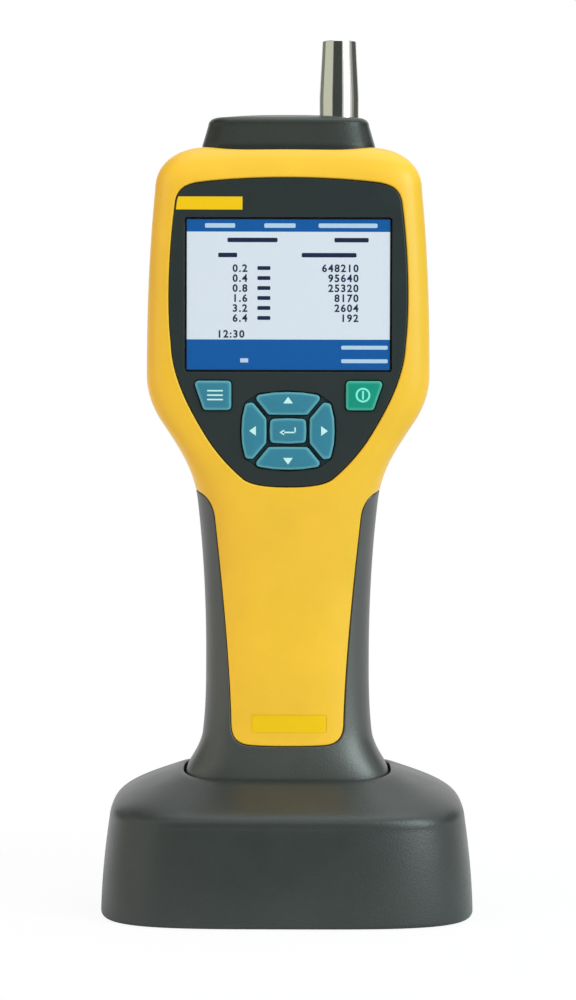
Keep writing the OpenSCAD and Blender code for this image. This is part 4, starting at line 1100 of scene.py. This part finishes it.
def display_pane():
    """Clear pane over the picture, with a ground edge."""
    f = Finish("clear_pane", linear(24, 28, 32), 0.08, Alpha=0.06)
    f.set(Roughness=0.06 + f.ramp(f.noise(45, 3), 0.45, 0.8) * 0.05)
    outline = plate_outline(DISPLAY_W - 0.3, DISPLAY_H - 0.3, 0.5, (0, DISPLAY_Z), 160)
    pane = lofted("pane", from_front(outline, [(FACE_Y + 0.6, 0), (FACE_Y + 0.3, 0), (FACE_Y + 0.1, 0.2)]))
    dressed(pane, "display_pane", f, "display_window")


display_pane()


def badge():
    """Bare raised bar on the bezel, whose left end follows the bezel's rim."""
    inner, low, high, right = moved_in(BEZEL_OUTLINE, 0.55), 242.0, 246.4, -15.6
    left = inner[inner[:, 0] < 0]
    z = np.linspace(low, high, 12)
    order = np.argsort(left[:, 1])
    x = np.interp(z, left[order, 1], left[order, 0])
    outline = np.vstack([[[right, low], [right, high]], np.column_stack([x, z])[::-1]])
    rings = from_front(outline, [(FACE_Y + 0.05, 0), (FACE_Y - 0.06, 0), (FACE_Y - 0.12, 0.07)])
    dressed(lofted("badge", rings), "badge_bar", BADGE)


badge()


def key_signs():
    """Signs printed on the keys: four arrowheads, a ring with a bar for power, three bars
    for the list and a bent arrow for accept."""
    y = KEY_FACE_Y - 0.2

    def sign(word, outlines, finish=INK):
        plates = [front_plate(outline, y - 0.05, y + 0.35) for outline in outlines]
        name = word + "_sign"
        dressed(joined(name, plates), name, finish, body="key_" + word + "_button")

    def arrowhead(x, z, turn):
        a = np.radians(np.array([90, 210, 330]) + turn)
        stretch = (1.25, 1) if turn % 180 == 0 else (1, 1.25)
        return np.column_stack([np.cos(a), np.sin(a)]) * stretch * ARROW_SIZE + np.array([x, z])

    for word, x, z, turn in (("up", 0, 10.1, 0), ("down", 0, -9.9, 180), ("left", -11.65, 0, 90),
                             ("right", 12.0, 0, -90)):
        sign(word, [arrowhead(x, PAD_Z + z, turn)])
    centre = (POWER_AT[0] + 0.1, POWER_AT[1] + 0.3)
    outer, inner = circle(*centre, 2.5, 72), circle(*centre, 1.85, 72)
    strips = np.stack([outer, np.roll(outer, -1, 0), np.roll(inner, -1, 0), inner], 1)
    sign("power", [*strips, plate_outline(0.65, 2.95, 0.1, centre, 24)], MINT)
    x, z = MENU_AT[0] + 0.2, MENU_AT[1] + 0.2
    sign("menu", [plate_outline(5.6, 0.5, 0.15, (x, z + dz), 24) for dz in (1.5, 0, -1.5)])
    sign("enter", [
        plate_outline(4.6, 0.5, 0.15, (0.3, PAD_Z - 0.5), 24),
        plate_outline(0.5, 1.9, 0.15, (2.4, PAD_Z + 0.3), 24),
        np.array([[-2.9, PAD_Z - 0.5], [-1.3, PAD_Z - 1.5], [-1.3, PAD_Z + 0.5]])])


key_signs()

# ---- Dock ----

HALF_W, HALF_D = DOCK_W / 2, DOCK_D / 2
DC_AT, DC_R, NETWORK_AT, NETWORK_W, NETWORK_H, JACK_Y = (-24, 17), 5.7, (20, 17.7), 16.6, 14.2, 38
SIDE_WALL = [(HALF_W, DOCK_LOW_Z + DOCK_FOOT_R), (HALF_W - 0.3, 14), (HALF_W - 1.6, 25),
             (HALF_W - 2.9, DOCK_WALL_Z)]
SIDE_SHOULDER = [SIDE_WALL[-1], (HALF_W - 3.3, 41.2), (53.6, 43.7), (WELL_W / 2, DOCK_SIDE_Z)]
FRONT_WALL = [(HALF_D, DOCK_LOW_Z + DOCK_FOOT_R), (HALF_D - 0.3, 14), (HALF_D - 1.3, 24),
              (HALF_D - 2.6, DOCK_WALL_Z - 1)]
# The crease over the front wall is tighter than the source's: up to 1 mm from its surface.
FRONT_SHOULDER = [FRONT_WALL[-1], (HALF_D - 2.6, 38.2), (42.2, 37.4), (WELL_D / 2, DOCK_FRONT_Z)]


def dock_ring(side, front, inset=0.0, count=400):
    """A ring through the side profile's point and the front profile's point. It is a
    superellipse whose height dips towards the front with depth to the power 1.4."""
    p = superellipse(side[0] - inset, front[0] - inset, DOCK_SQUARE, count)
    dip = np.clip(-p[:, 1] / (front[0] - inset), 0, 1) ** 1.4
    return np.column_stack([p, side[1] - (side[1] - front[1]) * dip - inset])


def well_ring(z, grow=0.0, count=400):
    """A ring of the well: straight tapers between its floor, the height 46 and the rim."""
    rows = np.array([
        [FOOT_Z, FOOT_W / 2 + 0.35, GRIP_FRONT + 2.9, GRIP_BACK + 2.4],
        [46, FOOT_W / 2 + 0.5, GRIP_FRONT + 3.2, GRIP_BACK + 2.7],
        [56, WELL_W / 2, WELL_D / 2, WELL_D / 2],
        [62, WELL_W / 2 + 2, WELL_D / 2 + 2, WELL_D / 2 + 2]])
    z = np.broadcast_to(np.asarray(z, float), (count,))
    w, f, b = (np.interp(z, rows[:, 0], rows[:, k]) + grow for k in (1, 2, 3))
    p = superellipse(1, 1, WELL_SQUARE, count)
    return np.column_stack([p[:, 0] * w, np.where(p[:, 1] < 0, f, b) * p[:, 1], z])


def dock_moulding():
    """Dock shell: foot round, drafted wall, shoulder, a rolled lip and the well down to its
    floor as one profile carried round; hollow below and open for the jacks and pins."""
    s_wall, f_wall = (cubic(c, np.linspace(0, 1, 26)) for c in (SIDE_WALL, FRONT_WALL))
    s_top, f_top = (cubic(c, np.linspace(0, 1, 40)) for c in (SIDE_SHOULDER, FRONT_SHOULDER))
    rings = [dock_ring((HALF_W - short, DOCK_LOW_Z + into), (HALF_D - short, DOCK_LOW_Z + into))
             for short, into in round_edge(DOCK_FOOT_R, np.linspace(0, 80, 8))]
    rings += [dock_ring(s, f) for s, f in zip(s_wall, f_wall)]
    rings += [dock_ring(s, f) for s, f in zip(s_top[1:-2], f_top[1:-2])]
    start, rim_z = rings[-1], dock_ring(s_top[-1], f_top[-1])[:, 2]
    corner, inside = well_ring(rim_z), well_ring(rim_z - 1.1)
    rings += [(1 - t) ** 2 * start + 2 * t * (1 - t) * corner + t * t * inside
              for t in np.linspace(0, 1, 9)[1:]]
    rings += [well_ring(inside[:, 2] * (1 - t) + FOOT_Z * t) for t in np.linspace(0, 1, 10)[1:]]
    shell = lofted("dock", rings)
    under = [dock_ring((HALF_W, 0), (HALF_D, 0), DOCK_T, 120) * (1, 1, 0) + (0, 0, -3)]
    for s, f in [*zip(s_wall[::5], f_wall[::5]), *zip(s_top[4::6], f_top[4::6])]:
        under.append(dock_ring(s, f, DOCK_T, 120))
    under.append(at_height(superellipse(20, 12, DOCK_SQUARE, 120), DOCK_FRONT_Z - 4 - DOCK_T))
    hollow = lofted("hollow", under)
    carve(hollow, [lofted("well_wall", [well_ring(z, 2.4, 120) for z in (30.4, 46, 62)])])
    network = plate_outline(NETWORK_W, NETWORK_H, 0.6, NETWORK_AT, 96)
    carve(shell, [hollow, flared("dc_hole", circle(*DC_AT, DC_R), 45.7, HOLE_LIP, JACK_Y),
                  flared("network_hole", network, 45.75, HOLE_LIP, JACK_Y),
                  box_cutter("pin_hole", 14.2, 6.2, FOOT_Z - 4, FOOT_Z + 1)])
    keep = None
    for part, low, high in loose_parts(shell):
        if high[0] - low[0] > 100:
            keep = part
        else:
            drop(part)
    dressed(shaded(keep), "dock_moulding", DOCK_GREY, "dock_shell")


dock_moulding()

# ---- Finishes of the solids that keep their shape ----

BOARD = plain("board_laminate", linear(26, 92, 58), 0.4, scale=900, change=0.2)
ZINC = plain("plated_steel", linear(176, 178, 180), 0.28, 1.0, scale=500, change=0.08)
ALUMINIUM = turned_metal("machined_aluminium", linear(188, 190, 192), 0.3, 0.0007)
BRASS = turned_metal("brass", linear(206, 168, 92), 0.24, 0.0006, "Y")
BLACK = plain("black_plastic", linear(28, 29, 31), 0.5, scale=700)
FOAM = plain("soft_feet", linear(24, 25, 26), 0.75, scale=900, bump=0.00008)
HOSE = plain("silicone_hose", linear(206, 208, 204), 0.35, scale=300, change=0.05)
FILTER = plain("filter_can", linear(222, 222, 214), 0.5, scale=260, change=0.05)
SLEEVE = plain("cell_sleeve", linear(36, 66, 118), 0.3, scale=160, change=0.08)
BACKING = plain("display_frame", linear(60, 62, 66), 0.4, 0.6, scale=300)

CAD_FINISHES = {
    MAT: ["keypad_mat"],
    BOARD: ["keypad_board", "main_board", "dock_board"],
    ZINC: ["key_domes", "keypad_screws", "board_screws", "blower_cover", "blower_wheel", "blower_motor",
           "door_screws", "housing_screws", "dock_ballast", "network_jack", "dock_screws"],
    ALUMINIUM: ["sensor_block"],
    BRASS: ["laser_module", "inlet_fitting", "battery_contacts", "tripod_insert"],
    BLACK: ["light_trap", "detector_cover", "inlet_seal", "sounder", "foot_socket", "dock_connector", "dc_jack",
            "blower_body"],
    FOAM: ["dock_feet"],
    HOSE: ["sample_hose", "exhaust_hose"],
    FILTER: ["exhaust_filter"],
    SLEEVE: ["battery_pack"],
    BACKING: ["display_module"],
    DOCK_GREY: ["dock_base"],
}
for finish, names in CAD_FINISHES.items():
    for name in names:
        coat(frame["nodes"][name], finish)

# ---- Floor, light and camera ----


SKY_LIGHT, FLOOR_WHITE, CARD_R = 0.5, 0.92, 1300
OBJECT_MIDDLE = Vector((0, 0, 0.15))


def light_of_its_own(graph, colour, strength):
    return graph.node("ShaderNodeEmission", None, {"Color": colour, "Strength": strength})


def studio_floor():
    """A pale paper that fades out round the object. Most of it reads as white to the camera,
    and the rest of it keeps the object's shadow."""
    rings = [at_height(circle(0, 0, r, 96), 0) for r in (1, 200, 500, 900)]
    mesh = mesh_of("floor", np.concatenate(rings), grid_quads(4, 96)[:, ::-1], [np.arange(96)])
    floor = new_object("floor", mesh)
    f = Finish("floor_paper", linear(250, 250, 250), 0.9)
    paper = Signal(f, f.surface.outputs[0])
    lit = f.node("ShaderNodeMixShader", None, {
        0: f.seen("Camera") * FLOOR_WHITE, 1: paper, 2: light_of_its_own(f, (1, 1, 1, 1), 1.0)})
    far = f.node("ShaderNodeVectorMath", {"operation": "LENGTH"}, {0: f.place}, "Value")
    f.show(f.node("ShaderNodeMixShader", None, {
        0: f.ramp(far, 0.10, 0.30), 1: lit, 2: f.node("ShaderNodeBsdfTransparent")}))
    coat(floor, f)


def studio_card(name, from_angle, to_angle, low, high, shade):
    """An upright curved card round the object, between two angles in degrees from the camera's
    side. Only reflections show it."""
    a = np.radians(np.linspace(from_angle, to_angle, 25))
    line = CARD_R * np.column_stack([np.sin(a), -np.cos(a)])
    points = np.concatenate([at_height(line, z) for z in (low, high)])
    card = new_object(name, mesh_of(name, points, grid_quads(2, 25, wrap_cols=False)))
    f = Finish(name, (0, 0, 0, 1), 1.0)
    f.show(light_of_its_own(f, shade, 1.0))
    coat(card, f)
    for kind in ("camera", "diffuse", "shadow", "transmission"):
        setattr(card, "visible_" + kind, False)


def studio_lamp(name, at, width, height, power, colour, reflected=True):
    """A soft rectangular lamp aimed at the middle of the object."""
    light = bpy.data.lights.new(name, "AREA")
    light.shape, light.size, light.size_y, light.energy = "RECTANGLE", width, height, power
    light.color = colour
    piece = new_object(name, light)
    piece.location, piece.visible_glossy = at, reflected
    piece.rotation_euler = (OBJECT_MIDDLE - Vector(at)).to_track_quat("-Z", "Y").to_euler()


def surround():
    """A white surround: 1 where the camera, a gloss or glass shows it, and less as light."""
    world = bpy.data.worlds.new("surround")
    bpy.context.scene.world = world
    world.use_nodes = True
    world.node_tree.nodes.clear()
    g = Graph(world.node_tree)
    shown = g.seen("Camera", "Glossy", "Transmission")
    background = g.node("ShaderNodeBackground", None, {
        "Color": (1, 1, 1, 1), "Strength": shown * (1.0 - SKY_LIGHT) + SKY_LIGHT})
    out = g.tree.nodes.new("ShaderNodeOutputWorld")
    g.feed(out.inputs["Surface"], background)


studio_floor()
surround()
studio_card("card_front", -40, 19.5, -150, 900, (0.07, 0.08, 0.08, 1))
studio_card("card_right", 77, 93, 250, 900, (0.4, 0.42, 0.4, 1))
studio_card("card_right_back", 93, 142, 250, 900, (0.12, 0.13, 0.12, 1))
studio_card("card_left_back", -148, -106, 250, 900, (0.26, 0.27, 0.25, 1))
studio_card("card_left", -106, -40, -150, 900, (0.76, 0.78, 0.66, 1))
studio_card("card_left_high", -150, -50, 1000, 3200, (0.15, 0.15, 0.15, 1))
studio_lamp("lamp_right", (0.8, -0.75, 0.65), 0.6, 0.9, 10.2, (0.8, 1.0, 0.98))
studio_lamp("lamp_left", (-0.95, -0.55, 0.45), 0.5, 0.9, 4.2, (1.0, 0.84, 0.74), False)
studio_lamp("lamp_top", (0.1, 0.1, 1.2), 0.8, 0.8, 3.3, (0.84, 1.0, 1.0))

CAMERA_X, CAMERA_Y, CAMERA_Z, AIM_Z, CAMERA_ROLL = 0.00005, -1.1, 0.1925, 0.1425, 0.0024
SENSOR_W, LENS_PER_SENSOR = 36.0, 3.167
camera = new_object("camera", bpy.data.cameras.new("camera"))
bpy.context.scene.camera = camera
camera.location = (CAMERA_X, CAMERA_Y, CAMERA_Z)
aim = Vector((0, -CAMERA_Y, AIM_Z - CAMERA_Z)).to_track_quat("-Z", "Y")
camera.rotation_euler = (aim @ Quaternion((0, 0, 1), CAMERA_ROLL)).to_euler()
camera.data.sensor_width = SENSOR_W
camera.data.lens = SENSOR_W * LENS_PER_SENSOR
camera.data.clip_start, camera.data.clip_end = 0.05, 20
bpy.context.scene.view_settings.view_transform = "Standard"
